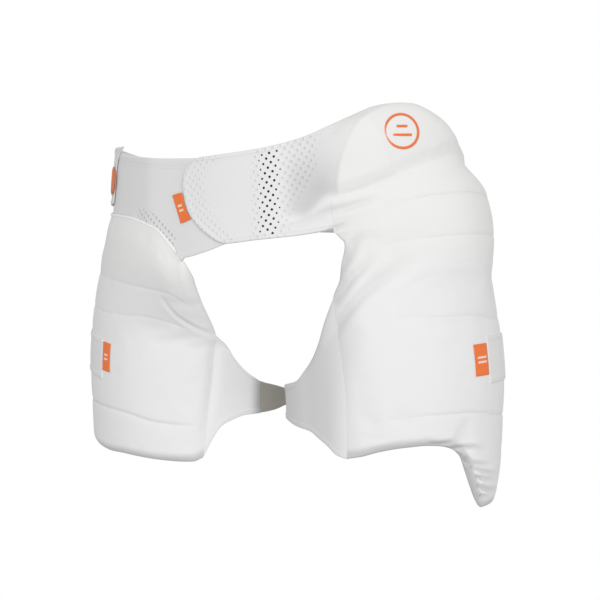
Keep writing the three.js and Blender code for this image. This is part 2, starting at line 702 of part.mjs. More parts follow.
// Hip guard.
const hipTop = curve(HIP_TOP, 'angle', 'top');
const hipFoamEdge = curve(HIP_FOAM_EDGE, 'height', 'angle');
const hipLevels = (angle) => [leftSeam(angle) + GAP / 2, hipTop(angle)];
const hipThickness = (angle, height) => {
  const [low, top] = hipLevels(angle);
  const inside = smooth((angle - hipFoamEdge(height)) / HIP_FOAM.step + 0.5);
  const rolls = [
    quarterRound((top - height) / HIP_FOAM.rimTop),
    quarterRound((height - low) / HIP_FOAM.rimLow),
    quarterRound(((HIP_FOAM.rear - angle) * WAIST_ARC) / HIP_FOAM.rimRear),
  ];
  const raised = HIP_PANEL.raise * inside * smooth((HIP_PANEL.to - angle) / HIP_PANEL.step + 0.5);
  return HIP.cloth + (HIP_FOAM.dome * inside + raised) * rolls.reduce((a, b) => a * b);
};
add('hip_guard', shell({
  surface: waist,
  side: LEFT,
  at: patch(plainEdges(HIP.from, HIP.to), hipLevels, WAIST_ARC),
  us: [0, 0.02, 0.04, 0.06, 0.085, 0.11, 0.14, ...evenly(10, 0.19, 0.91), 0.96, 0.985, 1],
  vs: [0, 0.04, 0.1, ...evenly(7, 0.2, 0.84), 0.92, 0.97, 1],
  outer: hipThickness,
  inner: flat(0),
}), FOAM_WHITE, 0.9);

// Orange ring on the hip guard and a round patch on the side tab.
const ringRadii = [HIP_BADGE.bore, HIP_BADGE.radius];
const ringGrid = (offset) => evenly(23, 0, 345).map((turn) => ringRadii.map((radius) => {
  const angle = HIP_BADGE.angle - (radius * Math.cos(radians(turn))) / WAIST_ARC;
  const height = HIP_BADGE.height + radius * Math.sin(radians(turn));
  return lifted(waist, LEFT, angle, height, hipThickness(angle, height) + offset);
}));
add('hip_badge', closedShell(ringGrid(2 * LAP + LABEL), ringGrid(2 * LAP), LEFT, true), ORANGE, 0.7);

const discGrid = (offset) => evenly(6, -1, 1).map((x) => evenly(6, -1, 1).map((y) => {
  const across = (SIDE_BADGE.radius * x * Math.sqrt(1 - y ** 2 / 2)) / WAIST_ARC;
  const angle = SIDE_BADGE.angle + across;
  const height = SIDE_BADGE.height + SIDE_BADGE.radius * y * Math.sqrt(1 - x ** 2 / 2);
  return lifted(waist, LEFT, angle, height, sideInner(angle) + SIDE_TAB.cloth + offset);
}));
add('side_badge', closedShell(discGrid(LAP + LABEL), discGrid(LAP), LEFT, false), ORANGE, 0.7);

// Piping along the arched seam, lying on the belt's lower edge.
const seamPoint = (angle) => waist(angle, rightSeam(angle));
const pipingAngles = evenly(20, BELT.corner - 2, BELT.seamEnd + 2);
const pipingPath = new THREE.CatmullRomCurve3(pipingAngles.map((angle) => {
  const along = seamPoint(angle + 0.1).sub(seamPoint(angle - 0.1)).normalize();
  const normal = outward(waist, angle, rightSeam(angle), LEFT);
  const away = normal.clone().cross(along).multiplyScalar(PIPING_ABOVE_SEAM);
  return seamPoint(angle).add(away).addScaledVector(normal, CLOTH + PIPING_RADIUS + LAP);
}));
const pipingSection = new THREE.Shape().absarc(0, 0, PIPING_RADIUS, 0, 2 * Math.PI);
add('right_piping', new THREE.ExtrudeGeometry(pipingSection, {
  steps: 28,
  curveSegments: 3,
  bevelEnabled: false,
  extrudePath: pipingPath,
}), CLOTH_WHITE, 0.85);

export default group;
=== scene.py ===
"""A cricket guard for the lower body, held as worn: belt, hip guard and two thigh guards."""

import math

import bpy
import numpy as np
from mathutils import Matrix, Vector


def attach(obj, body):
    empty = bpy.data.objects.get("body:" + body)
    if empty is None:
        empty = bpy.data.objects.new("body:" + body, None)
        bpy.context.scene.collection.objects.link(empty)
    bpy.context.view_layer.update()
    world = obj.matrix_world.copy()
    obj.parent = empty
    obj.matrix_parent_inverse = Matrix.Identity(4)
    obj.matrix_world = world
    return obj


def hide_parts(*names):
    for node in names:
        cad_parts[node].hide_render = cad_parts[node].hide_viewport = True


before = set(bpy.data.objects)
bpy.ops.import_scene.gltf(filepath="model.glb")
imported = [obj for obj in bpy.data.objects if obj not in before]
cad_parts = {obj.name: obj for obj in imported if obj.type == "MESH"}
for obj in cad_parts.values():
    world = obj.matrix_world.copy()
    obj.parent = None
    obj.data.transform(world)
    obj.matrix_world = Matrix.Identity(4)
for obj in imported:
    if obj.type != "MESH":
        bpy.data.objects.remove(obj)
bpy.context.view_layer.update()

# Sizes are in millimetres and degrees until a mesh is made.
# The wearer faces -Y, the wearer's left is +X and +Z is up.
# Waist angles run from the front towards the wearer's left, leg angles from the front outwards.
MM = 0.001
LEFT, RIGHT = 1, -1
ALL_ENDS = ("inner", "outer", "low", "top")

CLOTH = 2.5
WING_CLOTH = 3.0
TAB = 1.7
GAP = 0.6
LAP = 0.5
CLOSE_LAP = 0.1
TAB_SUNK = 1.1
LABEL = 1.0
LEG_RISE = 12.0
LEG_ARC = 1.85
WAIST_ARC = 2.9
PIPING = {
    "radius": 1.7, "above_seam": 1.2, "proud": 0.6, "inset": 2,
    "steps": 121, "sides": 12, "taper": 3, "tip": 0.05,
}


def table(columns, *rows):
    """Rows of numbers under named columns."""
    return dict(zip(columns.split(), np.array(rows, float).T))


# The body that the guard lies on.
WAIST_SECTIONS = table(
    "z half_width half_depth",
    (-60, 207, 132),
    (0, 202, 128),
    (55, 197, 124),
    (110, 182, 112),
)
LEG_SECTIONS = table(
    "height out back half_width half_depth",
    (-290, 124, 10, 101, 101),
    (-200, 124, 10, 101, 104),
    (-120, 117, 9, 101, 107),
    (-40, 106, 7, 101, 110),
    (40, 96, 4, 100, 112),
)
JOIN = {"low": -140, "high": -50, "inner": -74, "outer": -48, "front": -10, "flank": 50}

# Thigh pads: level lines from the hem up, then the inner upright edge.
RIGHT_LEVELS = table(
    "angle hem low middle high top",
    (-48, -248, -220, -118, -88, -47),
    (-42, -254, -220, -115, -81, -41),
    (-36, -260, -221, -112, -76, -35),
    (-18, -263.5, -222, -108, -78, -21.5),
    (6, -265, -218, -115, -81, -17.5),
    (25, -268, -219, -119, -83, -20),
    (60, -268, -221, -120, -84, -24),
    (112, -262, -220, -120, -84, -24),
)
RIGHT_EDGES = table(
    "height inner",
    (-262, -41),
    (-225, -43.5),
    (-174, -46.5),
    (-135, -47.5),
    (-122, -50),
    (-95, -52),
    (-64, -53.5),
    (-54, -52),
    (-44, -48.5),
)
LEFT_LEVELS = table(
    "angle hem low middle high shoulder top",
    (10, -245, -210, -114, -54, -29, 2),
    (18, -244, -210, -114, -52, -26.5, 4),
    (28, -241, -209.5, -115, -49, -18.5, 6.5),
    (38, -240, -209, -115.5, -46, -13, 11),
    (48, -240, -209, -116.5, -43.5, -8.5, 17),
    (59, -242, -209.5, -118, -42, -3, 24),
    (67, -246, -210.5, -119, -41, -1, 28.5),
    (74.5, -256, -211, -119.5, -41, -0.5, 31.5),
    (78.5, -271, -212, -120, -41, 0, 33.5),
    (83.5, -289, -213.5, -121, -41, 0, 35.5),
    (88.5, -303, -214.5, -122, -41.5, -1, 36.5),
    (94, -311, -217, -124, -42.5, -2, 36),
    (105, -310.5, -219.5, -127, -44, -6, 28),
    (116, -295, -221, -128, -46, -14, 12),
    (125, -262, -222, -128, -48, -24, -4),
)
LEFT_EDGES = table(
    "height inner",
    (-246, 11.5),
    (-200, 11.5),
    (-150, 11.5),
    (-110, 10.5),
    (-91, 10),
    (-73, 14.5),
    (-60, 16.3),
    (-40, 19.4),
    (-33, 17),
    (-27, 14.6),
    (-10, 15.2),
    (6, 16),
)
RIGHT_PAD = {
    "panels": (11, 13, 12, 10), "rim": 4, "outer": 112, "join": (-264, -114), "top_edge": 4.7,
    "roll": {"inner": 40, "outer": 12, "low": 10, "top": 28}, "stand_off": 6, "foot": -76,
    "seams": (1.1, 0.3, 0.3), "seams_from": -60, "seams_full": -50,
}
LEFT_PAD = {
    "panels": (12, 14, 13, 13, 11), "rim": 4, "outer": 125, "join": (-256, -85),
    "roll": {"inner": 60, "outer": 12, "low": 11, "top": 26}, "stand_off": 8, "foot": -18,
    "seams": (0.8, 0.35, 0.4, 0.5), "seams_from": 12, "seams_full": 85,
}
PAD_CELL = {"foam": 3.4, "cover": 1.6, "mid_height": -160.0, "hem_from": -40, "hem_to": 110}
SEAM = {"width": 1.5, "lining": 0.6}
TOP_SEAM = {"right": (-47.5, 112), "left": (15, 125)}
STAND_OFF = {"full_below": -120, "none_above": -60}
LEFT_FLANK = table("height extra", (-126, 0), (-95, 6), (-45, 15), (-10, 13), (30, 2))
FLANK = {"front": 40, "full": 85}
HOLLOW = {"height": -44, "over": 17, "deep": 3.5, "front": 25, "ease": 30}
TAIL = {"roll": 45, "front": 62, "full": 76}
TAIL_FACING = table(
    "height angle",
    (-306, 91),
    (-300, 89.3),
    (-288, 85.7),
    (-277, 83.3),
    (-268.5, 80.8),
    (-261, 77),
)
PAD_EDGE = {"join_ease": 6, "closure_from": -36, "closure_ease": 8, "thinnest": 1.2, "pillow": 0.5}
HELD = {"inset": 1, "ease": 8, "crease": 3}

# Tones of the cloth: warmer in the upper panels and a little darker in the seams. Painted shade darkens
# the cloth round the hems, in the folds, up the inner side of the left leg, along the tail's facing and
# beside the hip guard.
WARM_PANELS = {"from": -90, "over": 60}
SEAM_GREY = 0.2
# Painted shade along the hems, where the cloth rolls under away from the light.
HEM_PAINTED_SHADE = {"deep": 1.2, "from": 12, "over": 10}
# Painted shade in the folds: darker by each millimetre of depth, more where the tail gathers.
FOLD_PAINTED_SHADE = {"each_mm": 0.1, "gathered": 0.22, "below": -228, "ease": 8}
# Painted shade along the tail's facing.
FACING_PAINTED_SHADE = {"deep": 0.7, "ease": 1.5, "below": -256, "over": 6}
# Painted shade up the inner side of the left leg, where the cloth turns away from the light.
INNER_PAINTED_SHADE = {"deep": 0.52, "top": -32, "over": 20}
INNER_PAINTED_SHADE_REACH = table(
    "height end ease",
    (-250, 16, 18),
    (-190, 18, 18),
    (-120, 30, 20),
    (-95, 25, 13),
    (-60, 25, 9),
    (-35, 24, 8),
)
# Painted shade along the free inner edge of the left leg.
EDGE_PAINTED_SHADE = {"deep": 0.6, "wide": 11, "top": -36, "over": 10, "foot": -102, "ease": 14, "reach": -20}
# Painted shade in the hollow between the closure and the hip guard's front panel.
VALLEY_PAINTED_SHADE = {
    "low": 0.7, "high": 0.2, "from": 20, "over": 40, "front": 23, "ease": 6, "rear_ease": 1.2,
    "foot": (-14, 6), "foot_from": 30, "foot_over": 9, "foot_ease": 10,
}
# Painted shade behind the hip guard's front panel.
HIP_PAINTED_SHADE = {"deep": 0.12, "above_seam": 4, "over": 14, "ease": 4}
HIP_WARM = {"cover": 0.7, "panel": 0.3}

# Creases pressed into the covers: points along each fold, with the depth there. A low ridge
# stands beside each valley.
FOLD_RIDGE = {"share": 0.25, "beside": 2}
RIGHT_FOLDS = table(
    "fold angle height depth width",
    (1, -28, -80, 0, 3),
    (1, -30.5, -88, 0.9, 3),
    (1, -34, -99, 1.2, 3.2),
    (1, -39, -106, 1.2, 3.4),
    (1, -46, -114, 0.9, 3.6),
    (1, -51, -121, 0.3, 3.6),
    (2, -24, -85, 0, 4),
    (2, -38, -84, 0.5, 4),
    (2, -51, -86, 0.4, 4),
    (3, -47.5, -124, 0, 5),
    (3, -46.5, -136, 0.9, 5),
    (3, -46, -150, 1.4, 5),
    (3, -46, -175, 1.4, 5),
    (3, -44.5, -200, 1.2, 5),
    (3, -42.5, -222, 0.7, 5),
    (3, -41, -238, 0, 5),
)
LEFT_FOLDS = table(
    "fold angle height depth width",
    (1, 34, -55, 0, 4.5),
    (1, 30, -59.5, 1.4, 4.2),
    (1, 26, -65.5, 2.8, 4.2),
    (1, 21.5, -71.5, 3.4, 4.2),
    (1, 17, -81, 3.0, 4.4),
    (1, 12, -93, 1.6, 4.4),
    (2, 54, -60, 0, 7),
    (2, 45, -66.5, 1.4, 7),
    (2, 38.5, -73.5, 2.4, 6.4),
    (2, 31, -81.5, 3.0, 6),
    (2, 23, -92, 3.6, 5.6),
    (2, 17.5, -102.5, 3.6, 5.4),
    (2, 11.5, -116, 2.6, 5.2),
    (2, 5, -128, 0.6, 5),
    (3, 29, -32, 0, 4),
    (3, 24, -42, 2.6, 4),
    (3, 19.5, -56, 2.6, 4),
    (3, 17, -63, 1.0, 4),
    (4, 51, -236, 0, 2.2),
    (4, 55, -238, 2.2, 2.2),
    (4, 59.3, -239, 2.8, 2.2),
    (4, 66.6, -238, 0, 2.4),
    (5, 67, -246, 3.0, 2.4),
    (5, 73, -246, 3.4, 2.4),
    (5, 80.5, -247, 2.4, 2.6),
    (5, 90, -254, 0, 3),
    (6, 76.4, -259.8, 4.6, 2.4),
    (6, 79, -262.6, 4.4, 2.3),
    (6, 87.3, -266, 2.6, 2.4),
    (6, 95, -269, 0, 2.6),
    (7, 80.7, -268, 4.4, 2.3),
    (7, 87.7, -272.5, 4.0, 2.3),
    (7, 98, -277.8, 2.0, 2.5),
    (7, 106, -281, 0, 2.6),
    (8, 84.3, -278, 4.4, 2.2),
    (8, 92.3, -281.2, 3.4, 2.3),
    (8, 106, -286, 0, 2.6),
    (9, 85.7, -287.7, 4.4, 2.3),
    (9, 93.7, -292.7, 3.6, 2.3),
    (9, 107, -298, 0, 2.6),
    (10, 89, -298.6, 2.6, 2.2),
    (10, 102, -300.5, 0, 2.4),
    (11, 75.5, -257, 0.6, 1.6),
    (11, 77.5, -261, 2.2, 1.6),
    (11, 80.8, -268.5, 2.6, 1.6),
    (11, 83.3, -277, 2.6, 1.6),
    (11, 85.7, -287.7, 2.6, 1.6),
    (11, 89.3, -300.3, 2.2, 1.6),
    (11, 91, -306, 0.4, 1.6),
)
WAIST_FOLDS = table(
    "fold angle height depth width",
    (1, 19, -28.5, 0, 2.5),
    (1, 25, -23, 1.5, 3),
    (1, 32.5, -13.5, 2.2, 3.4),
    (1, 38, -6, 2.6, 3.6),
    (1, 43, -2.5, 2.8, 3.6),
    (1, 49, 3, 2.0, 3.4),
    (1, 55, 8, 0, 3),
    (2, 24.8, -13, 0, 6),
    (2, 29.6, 0.7, 1.4, 7),
    (2, 34.4, 15, 1.0, 8),
    (2, 38, 28, 0, 8),
    (3, 38, -24, 2.4, 2),
    (3, 40.5, -21, 3.2, 2),
    (3, 44.5, -17.5, 0, 2),
)

# Cloth wings from the strap end to the pad, and the straps round the back of the legs.
RIGHT_WING_END, LEFT_WING_END = -78, -75
# The wing's painted shade: how far it reaches from the strap, and its share of the left leg's painted
# shade.
WING = {"hem_from": 12, "thin_from": 30, "strap_shade_reach": 20, "grey": 0.5}
STRAP = {"inset": 6, "level": 3, "ease": 9, "pale": 22, "pale_ease": 6}
RIGHT_WING = table(
    "angle hem top",
    (-78, -209, -175),
    (-67, -210, -163),
    (-58, -215, -147),
    (-52, -221, -129),
    (-47, -234, -116),
    (-42, -253, -110),
)
LEFT_WING = table(
    "angle hem top",
    (-75, -204, -174),
    (-45, -208, -171),
    (-28, -213.5, -168),
    (-15, -218, -155),
    (-7.4, -225, -144),
    (-0.7, -232, -128),
    (5.5, -241, -105.5),
    (11, -245, -86),
)
RIGHT_STRAP = table(
    "angle hem top lift",
    (-255.6, -190, -147, 15.5),
    (-245, -190, -147, 13),
    (-225, -192, -154, 5),
    (-210, -200, -168, 1.5),
    (-195, -212, -188, 0),
    (-180, -224, -203, 0),
    (-160, -224, -204, 0),
    (-140, -218, -199, 0),
    (-120, -210, -193, 0),
    (-105, -206, -187, 0),
    (-90, -208, -180, 0),
    (-78, -209, -175, 0),
)
LEFT_STRAP = table(
    "angle hem top lift",
    (-242.1, -187, -141, 16.5),
    (-231, -187, -141, 13),
    (-212, -186, -143, 5),
    (-190, -188, -148, 0),
    (-140, -196, -162, 0),
    (-75, -204, -174, 0),
)
RIGHT_TAB = {"from": 21, "to": 104, "hem": -190, "top": -147}
LEFT_TAB = {"from": 90.6, "to": 117.5, "hem": -187, "top": -141}
RIGHT_LABEL = {"from": 13.4, "to": 20.7, "hem": -180, "top": -149}
LEFT_LABEL = {"from": 79.4, "to": 90.3, "hem": -178.5, "top": -147.5}
LABEL_BARS = {"off_middle": 2.2, "half_tall": 1.25, "soft": 0.5, "inset": 3, "inset_soft": 0.6}

# Belt, closure tab, its label, the second tab at the side and the hip guard, on the waist.
BELT = {"from": -231.6, "to": 14, "corner": -8.6, "seam_end": -112}
BELT_LEVELS = table(
    "angle hem top",
    (-232, 4, 41),
    (-215, -20, 42),
    (-180, -35, 42),
    (-140, -33, 42),
    (-112, -14, 44),
    (-80, -14, 50),
    (-60, -14, 54),
    (-39, -16, 50),
    (-18, -28, 46.5),
    (-9, -53, 46.5),
    (0, -46, 47),
    (7, -37.5, 48),
    (14, -33, 50),
)
GUSSET = {"wide": 18, "ease": 4, "from": -33, "from_ease": 6, "to": -11, "to_ease": 1.5}
CLOSURE = {
    "lap_end": 18, "flush_from": 30, "flush_over": 9, "fixed_end": 39.2, "under": 1.8,
    "low": 0.12, "low_over": 1.5, "sunk": 2.2, "sunk_from": 0.5, "sunk_over": 0.6,
}
CLOSURE_END = table(
    "height inner",
    (-38, 7),
    (-34, 3.4),
    (-17, -3.8),
    (0, -7.4),
    (24, -9),
    (37, -7.7),
    (47, -3),
)
CLOSURE_LEVELS = table(
    "angle hem top",
    (-9, -40, 45),
    (7, -37.8, 51),
    (17, -33.5, 55.5),
    (23.4, -31, 60),
    (29.4, -28.5, 65.7),
    (39.2, -23, 77.5),
)
CLOSURE_MESH = {
    "end": 0.7, "end_wide": 30, "end_ease": 12, "end_to": 13, "from": 13.5, "from_ease": 2.5,
    "to": 28.5, "more_above": 8, "ease": 4, "low": -10, "over": 50, "low_share": 0.8,
}
MESH_STEPS = {"along": (4.75, -3.35), "beside": (-2.9, -5.35)}
HOLES = {
    "centre": 20.2, "reach": 11.5, "full": 4, "edge": 4, "radius": 1.3, "small": 0.7, "deep": 1.8,
    "rows": 60, "between": (-20, 45),
}
BELT_WAVES = table("angle rise width", (-24, 1.6, 5), (-40, -0.8, 7), (-12, -0.6, 5))
BELT_LABEL_EDGES = table(
    "height inner outer",
    (-19, -9.4, -3.6),
    (-14, -10, -5.4),
    (0, -12, -8),
    (13, -13.8, -9.4),
)
BELT_LABEL_LEVELS = table("angle hem top", (-14, -22, 9), (-9.4, -19, 12.4), (-5, -14, 14))
SIDE_TAB = table(
    "angle hem top lift",
    (-128, 2, 30, 0),
    (-104, -4, 44, 0.8),
    (-72, -5, 57, 1.2),
    (-44.5, 2, 59, 0.2),
)
SIDE_FRONT = table(
    "height angle",
    (-8, -54),
    (30, -53.5),
    (42, -52.5),
    (49, -50.5),
    (55, -47.5),
    (59, -44.5),
)
SIDE_THIN = {"edge": 1.0, "over": 14}
HIP = {"from": 39.2, "to": 128, "cloth": 4, "open_side": 12, "wall": 1.5}
HIP_TOP = table(
    "angle top",
    (39, 77.5),
    (49.6, 90.2),
    (54.3, 95),
    (60, 97.6),
    (66, 98.6),
    (70.6, 98),
    (75.4, 94.6),
    (80.4, 89),
    (86, 82),
    (92, 71),
    (98, 61.5),
    (106, 52),
    (128, 41.5),
)
HIP_FOAM_EDGE = table(
    "height angle",
    (5, 41),
    (20, 41),
    (35, 41.6),
    (44, 42.3),
    (58, 44),
    (68, 45.8),
    (77, 48),
    (82, 50),
    (86, 53),
    (95, 60),
)
HIP_FOAM = {"dome": 9, "lead": 13, "ease": 15, "keep_low": 0.55, "rim_top": 16, "rim_low": 16,
            "rim_rear": 70, "rear": 97, "foot": -25, "foot_over": 30, "held_below": 5, "held_ease": 3}
HIP_CELL = {"foam": 3.0, "cover": 1.8, "long": 250, "tall": 70}
HIP_PANEL_REAR = table("height angle", (20, 61), (34, 59.2), (52, 56.8), (73, 54.3), (82, 52))
HIP_PANEL = {"raise": 0.9, "step": 0.8, "above_seam": 4}
HIP_BADGE = {"angle": 63.2, "height": 69, "radius": 17.9, "bore": 15.2, "raised": 0.6, "past_edge": 0.6}
BADGE_BARS = table("half_long up points", (5, 4.5, 9), (9, -4, 13))
SIDE_BADGE = {"angle": -57, "height": 23, "radius": 15, "stands_off": 0.5, "cells": 16, "round": 1.0}

# How fine the sheets' grids are, how their edges round over, how the stitches run and how the
# pads' covers swell.
CELL = {"wing": 2.0, "strap": 3.0, "tab": 1.5, "belt": 3.0, "closure": 2.0, "side_tab": 2.0}
EDGE = {"round": 1.4, "thinnest": 0.12}
SEAM_STITCHES = {"right": ((1,), 0.06), "left": ((1, 2, 3, 4), 0.4)}
STITCH_INSET = {"belt": (7, 10), "closure": 4, "wing": 4, "tab": 3.5, "label": 1.5}
STITCH_RAISED = 0.1
WING_TACK = {"angle": -70, "height": -199, "half": 2.5}
COVER_CLOTH = {
    "quality": 5, "mass": 0.2, "tension_stiffness": 12, "compression_stiffness": 12, "shear_stiffness": 6,
    "bending_stiffness": 0.3, "pin_stiffness": 1, "shrink_min": -0.004, "use_pressure": True,
    "uniform_pressure_force": 1.0,
}
COVER_FRAMES = 14

# Colours of the cloths and threads.
WHITE = (0.78, 0.78, 0.78, 1)
# A copy of WHITE painted darker for the shade the belt lies in; the tabs and the strap's pale end use it
# too.
SHADED_WHITE = (0.74, 0.74, 0.74, 1)
BRIGHT_WHITE = (0.86, 0.86, 0.86, 1)
THREAD_WHITE = (0.74, 0.74, 0.73, 1)
CREAM = (0.85, 0.83, 0.78, 1)
# Beige elastic, painted darker for the shade the straps lie in between and behind the legs.
SHADED_BEIGE = (0.37, 0.35, 0.31, 1)
# Near-black greys painted at the bottom of the holes as their shadow.
HOLE_SHADOW_GREYS = (0.03, 0.03, 0.03, 1), (0.08, 0.08, 0.08, 1)
ORANGE = (0.92, 0.2, 0.04, 1)

# The studio, in metres: where the camera stands, with its lens in millimetres, the light and
# the floor.
CAMERA = {
    "azimuth": 35, "elevation": 4, "distance": 1.9, "target": (0.0135, 0.0094, -0.101),
    "sensor": 36, "lens": 108.84,
}
SKY = 0.61
KEY = {"azimuth": 40, "elevation": 13, "strength": 1.71, "width": 45}
FLOOR = {"height": -0.95, "plain": 1.2, "reach": 2.2, "color": (0.6, 0.6, 0.6, 1)}


# Curves and surfaces

def smooth(x):
    t = np.clip(x, 0, 1)
    return t * t * (3 - 2 * t)


def quarter_round(x):
    return np.sqrt(1 - (1 - np.clip(x, 0, 1)) ** 2)


def arched(x):
    """Rises steadily slower from 0 to 1."""
    return 1 - (1 - np.clip(x, 0, 1)) ** 2


def lerp(a, b, t):
    return a + (b - a) * t


def rise(value, start, over):
    """0 up to the start, easing to 1."""
    return smooth((value - start) / over)


def fall(value, end, over):
    """Eases from 1 to 0 at the end."""
    return smooth((end - value) / over)


def ramp(value, start, full):
    """0 up to the start, easing to 1 where it is full."""
    return rise(value, start, full - start)


def unit(vector):
    return vector / np.linalg.norm(vector, axis=-1, keepdims=True)


def curve(rows, by, column):
    """A curve through the rows of a table that never swings past them."""
    xs, ys = rows[by], rows[column]
    climb = np.diff(ys) / np.diff(xs)
    slope = np.concatenate(([climb[0]], np.zeros(len(xs) - 2), [climb[-1]]))
    product = climb[:-1] * climb[1:]
    steady = product > 0
    slope[1:-1][steady] = (2 * product / np.where(steady, climb[:-1] + climb[1:], 1))[steady]

    def at(value):
        x = np.clip(value, xs[0], xs[-1])
        i = np.clip(np.searchsorted(xs, x, side="right") - 1, 0, len(xs) - 2)
        step = xs[i + 1] - xs[i]
        t = (x - xs[i]) / step
        start = (2 * t**3 - 3 * t**2 + 1) * ys[i] + (t**3 - 2 * t**2 + t) * step * slope[i]
        end = (3 * t**2 - 2 * t**3) * ys[i + 1] + (t**3 - t**2) * step * slope[i + 1]
        return start + end

    return at


def curves(rows, by, *columns):
    lines = [curve(rows, by, column) for column in columns]
    return lambda value: np.array([line(value) for line in lines])


waist_size = curves(WAIST_SECTIONS, "z", "half_width", "half_depth")
leg_size = curves(LEG_SECTIONS, "height", "out", "back", "half_width", "half_depth")


def waist(angle, z):
    angle, z = np.broadcast_arrays(np.asarray(angle, float), np.asarray(z, float))
    half_width, half_depth = waist_size(z)
    turn = np.radians(angle)
    return np.stack([half_width * np.sin(turn), -half_depth * np.cos(turn), z], -1)


def waist_angle(point):
    half_width, half_depth = waist_size(point[..., 2])
    return np.degrees(np.arctan2(point[..., 0] / half_width, -point[..., 1] / half_depth))


def onto_waist(point, sideways):
    """The move that brings a point out onto the waist: forwards only, or sideways as well."""
    a, b = waist_size(point[..., 2])
    out = unit(np.stack([sideways * point[..., 0] / a**2, point[..., 1] / b**2], -1))
    square = (out[..., 0] / a) ** 2 + (out[..., 1] / b) ** 2
    half = point[..., 0] * out[..., 0] / a**2 + point[..., 1] * out[..., 1] / b**2
    rest = (point[..., 0] / a) ** 2 + (point[..., 1] / b) ** 2 - 1
    way = (-half + np.sqrt(np.maximum(half**2 - square * rest, 0))) / square
    return np.stack([out[..., 0] * way, out[..., 1] * way, 0 * way], -1)


def leg(side):
    def at(angle, height):
        angle, height = np.broadcast_arrays(np.asarray(angle, float), np.asarray(height, float))
        out, back, half_width, half_depth = leg_size(height)
        across, along = np.sin(np.radians(angle)), np.cos(np.radians(angle))
        point = np.stack([
            side * (out + half_width * across),
            back - half_depth * along,
            height + LEG_RISE * across,
        ], -1)
        turn = (angle + 540) % 360 - 180
        round_share = ramp(turn, JOIN["inner"], JOIN["outer"])
        up_share = ramp(height, JOIN["low"], JOIN["high"])
        sideways = ramp(turn, JOIN["front"], JOIN["flank"])
        return point + onto_waist(point, sideways) * (round_share * up_share)[..., None]

    return at


def outward(surface, side, angle, height):
    step = 0.05
    around = surface(angle + step, height) - surface(angle - step, height)
    up = surface(angle, height + step) - surface(angle, height - step)
    return unit(side * np.cross(around, up))


def lifted(surface, side, angle, height, offset):
    offset = np.asarray(offset, float)
    return surface(angle, height) + outward(surface, side, angle, height) * offset[..., None]


def waist_run(angle):
    """Millimetres round the waist from the front."""
    turns = np.linspace(-270, 180, 901)
    steps = np.linalg.norm(np.diff(waist(turns, 0.0), axis=0), axis=1)
    run = np.concatenate(([0], np.cumsum(steps)))
    return np.interp(angle, turns, run - np.interp(0, turns, run))


def leg_run(angle):
    return angle * LEG_ARC


right_leg, left_leg = leg(RIGHT), leg(LEFT)


class Patch:
    """A piece of cloth on a surface, between two upright edges and several level lines."""

    def __init__(self, surface, side, edges, levels, run, clear=ALL_ENDS):
        self.surface, self.side, self.edges, self.levels, self.run = surface, side, edges, levels, run
        self.arc = WAIST_ARC if surface is waist else LEG_ARC
        self.inset = {name: GAP / 2 * (name in clear) for name in ALL_ENDS}

    def lines(self, angle):
        lines = np.array(self.levels(angle), float)
        lines[0] += self.inset["low"]
        lines[-1] -= self.inset["top"]
        return lines

    def ends(self, height):
        inner, outer = self.edges(height)
        return inner + self.inset["inner"] / self.arc, outer - self.inset["outer"] / self.arc

    def place(self, us, vs):
        """Angles and heights of a grid of shares; v counts the level lines."""
        u, v = np.meshgrid(us, vs, indexing="ij")
        height = np.zeros_like(u)
        angle = lerp(*self.ends(height), u)
        for _ in range(8):
            lines = self.lines(angle)
            line = np.minimum(v.astype(int), len(lines) - 2)
            low = np.take_along_axis(lines, line[None], 0)[0]
            high = np.take_along_axis(lines, line[None] + 1, 0)[0]
            height = lerp(low, high, v - line)
            angle = lerp(*self.ends(height), u)
        return angle, height

    def margins(self, angle, height):
        """Millimetres to each edge."""
        lines = self.lines(angle)
        inner, outer = self.ends(height)
        return {
            "inner": (angle - inner) * self.arc,
            "outer": (outer - angle) * self.arc,
            "low": height - lines[0],
            "top": lines[-1] - height,
        }

    def flat(self, angle, height):
        """Where a point lies on the cloth laid flat."""
        return np.stack([self.run(angle), height], -1)

    def at(self, angle, height, offset):
        return lifted(self.surface, self.side, angle, height, offset)


def between(start, end):
    return lambda height: (np.full_like(height, start), np.full_like(height, end))


def level(hem, top):
    return lambda angle: np.array([np.full_like(angle, hem), np.full_like(angle, top)])


def crowded(length, spacing, fine=(0, 0.5, 1.3, 2.6)):
    """Shares along a length, evenly spaced and crowded at both ends."""
    ends = np.array(fine) / length
    count = max(2, round((1 - 2 * ends[-1]) * length / spacing))
    inside = np.linspace(ends[-1], 1 - ends[-1], count + 1)
    return np.unique(np.round(np.concatenate([ends, inside, 1 - ends]), 6))


def rounded(margins, radius, ends):
    """1 well inside the cloth, falling to a thin rounded edge."""
    nearest = np.min([margins[end] for end in ends], axis=0)
    return np.maximum(quarter_round(nearest / radius), EDGE["thinnest"])


def sewn_edges(margins):
    """1 at every edge of a pad's cover, falling to 0 inside."""
    return 1 - rise(np.min(list(margins.values()), axis=0), HELD["inset"], HELD["ease"])


def set_marks(mesh, name, kind, domain, values):
    """Stores one value for each point or edge of a mesh."""
    field = "vector" if kind == "FLOAT_VECTOR" else "value"
    stored = np.asarray(values, bool if kind == "BOOLEAN" else np.float32)
    mesh.attributes.new(name, kind, domain).data.foreach_set(field, stored.ravel())


def set_cloth_map(mesh, flat):
    """Gives each corner its place on the cloth laid flat."""
    corners = np.empty(len(mesh.loops), np.int32)
    mesh.loops.foreach_get("vertex_index", corners)
    spots = (flat * MM)[corners].astype(np.float32)
    mesh.uv_layers.new(name="cloth").uv.foreach_set("vector", spots.ravel())


def in_scene(name, data):
    """A new object in the scene, at the origin."""
    thing = bpy.data.objects.new(name, data)
    bpy.context.scene.collection.objects.link(thing)
    return thing


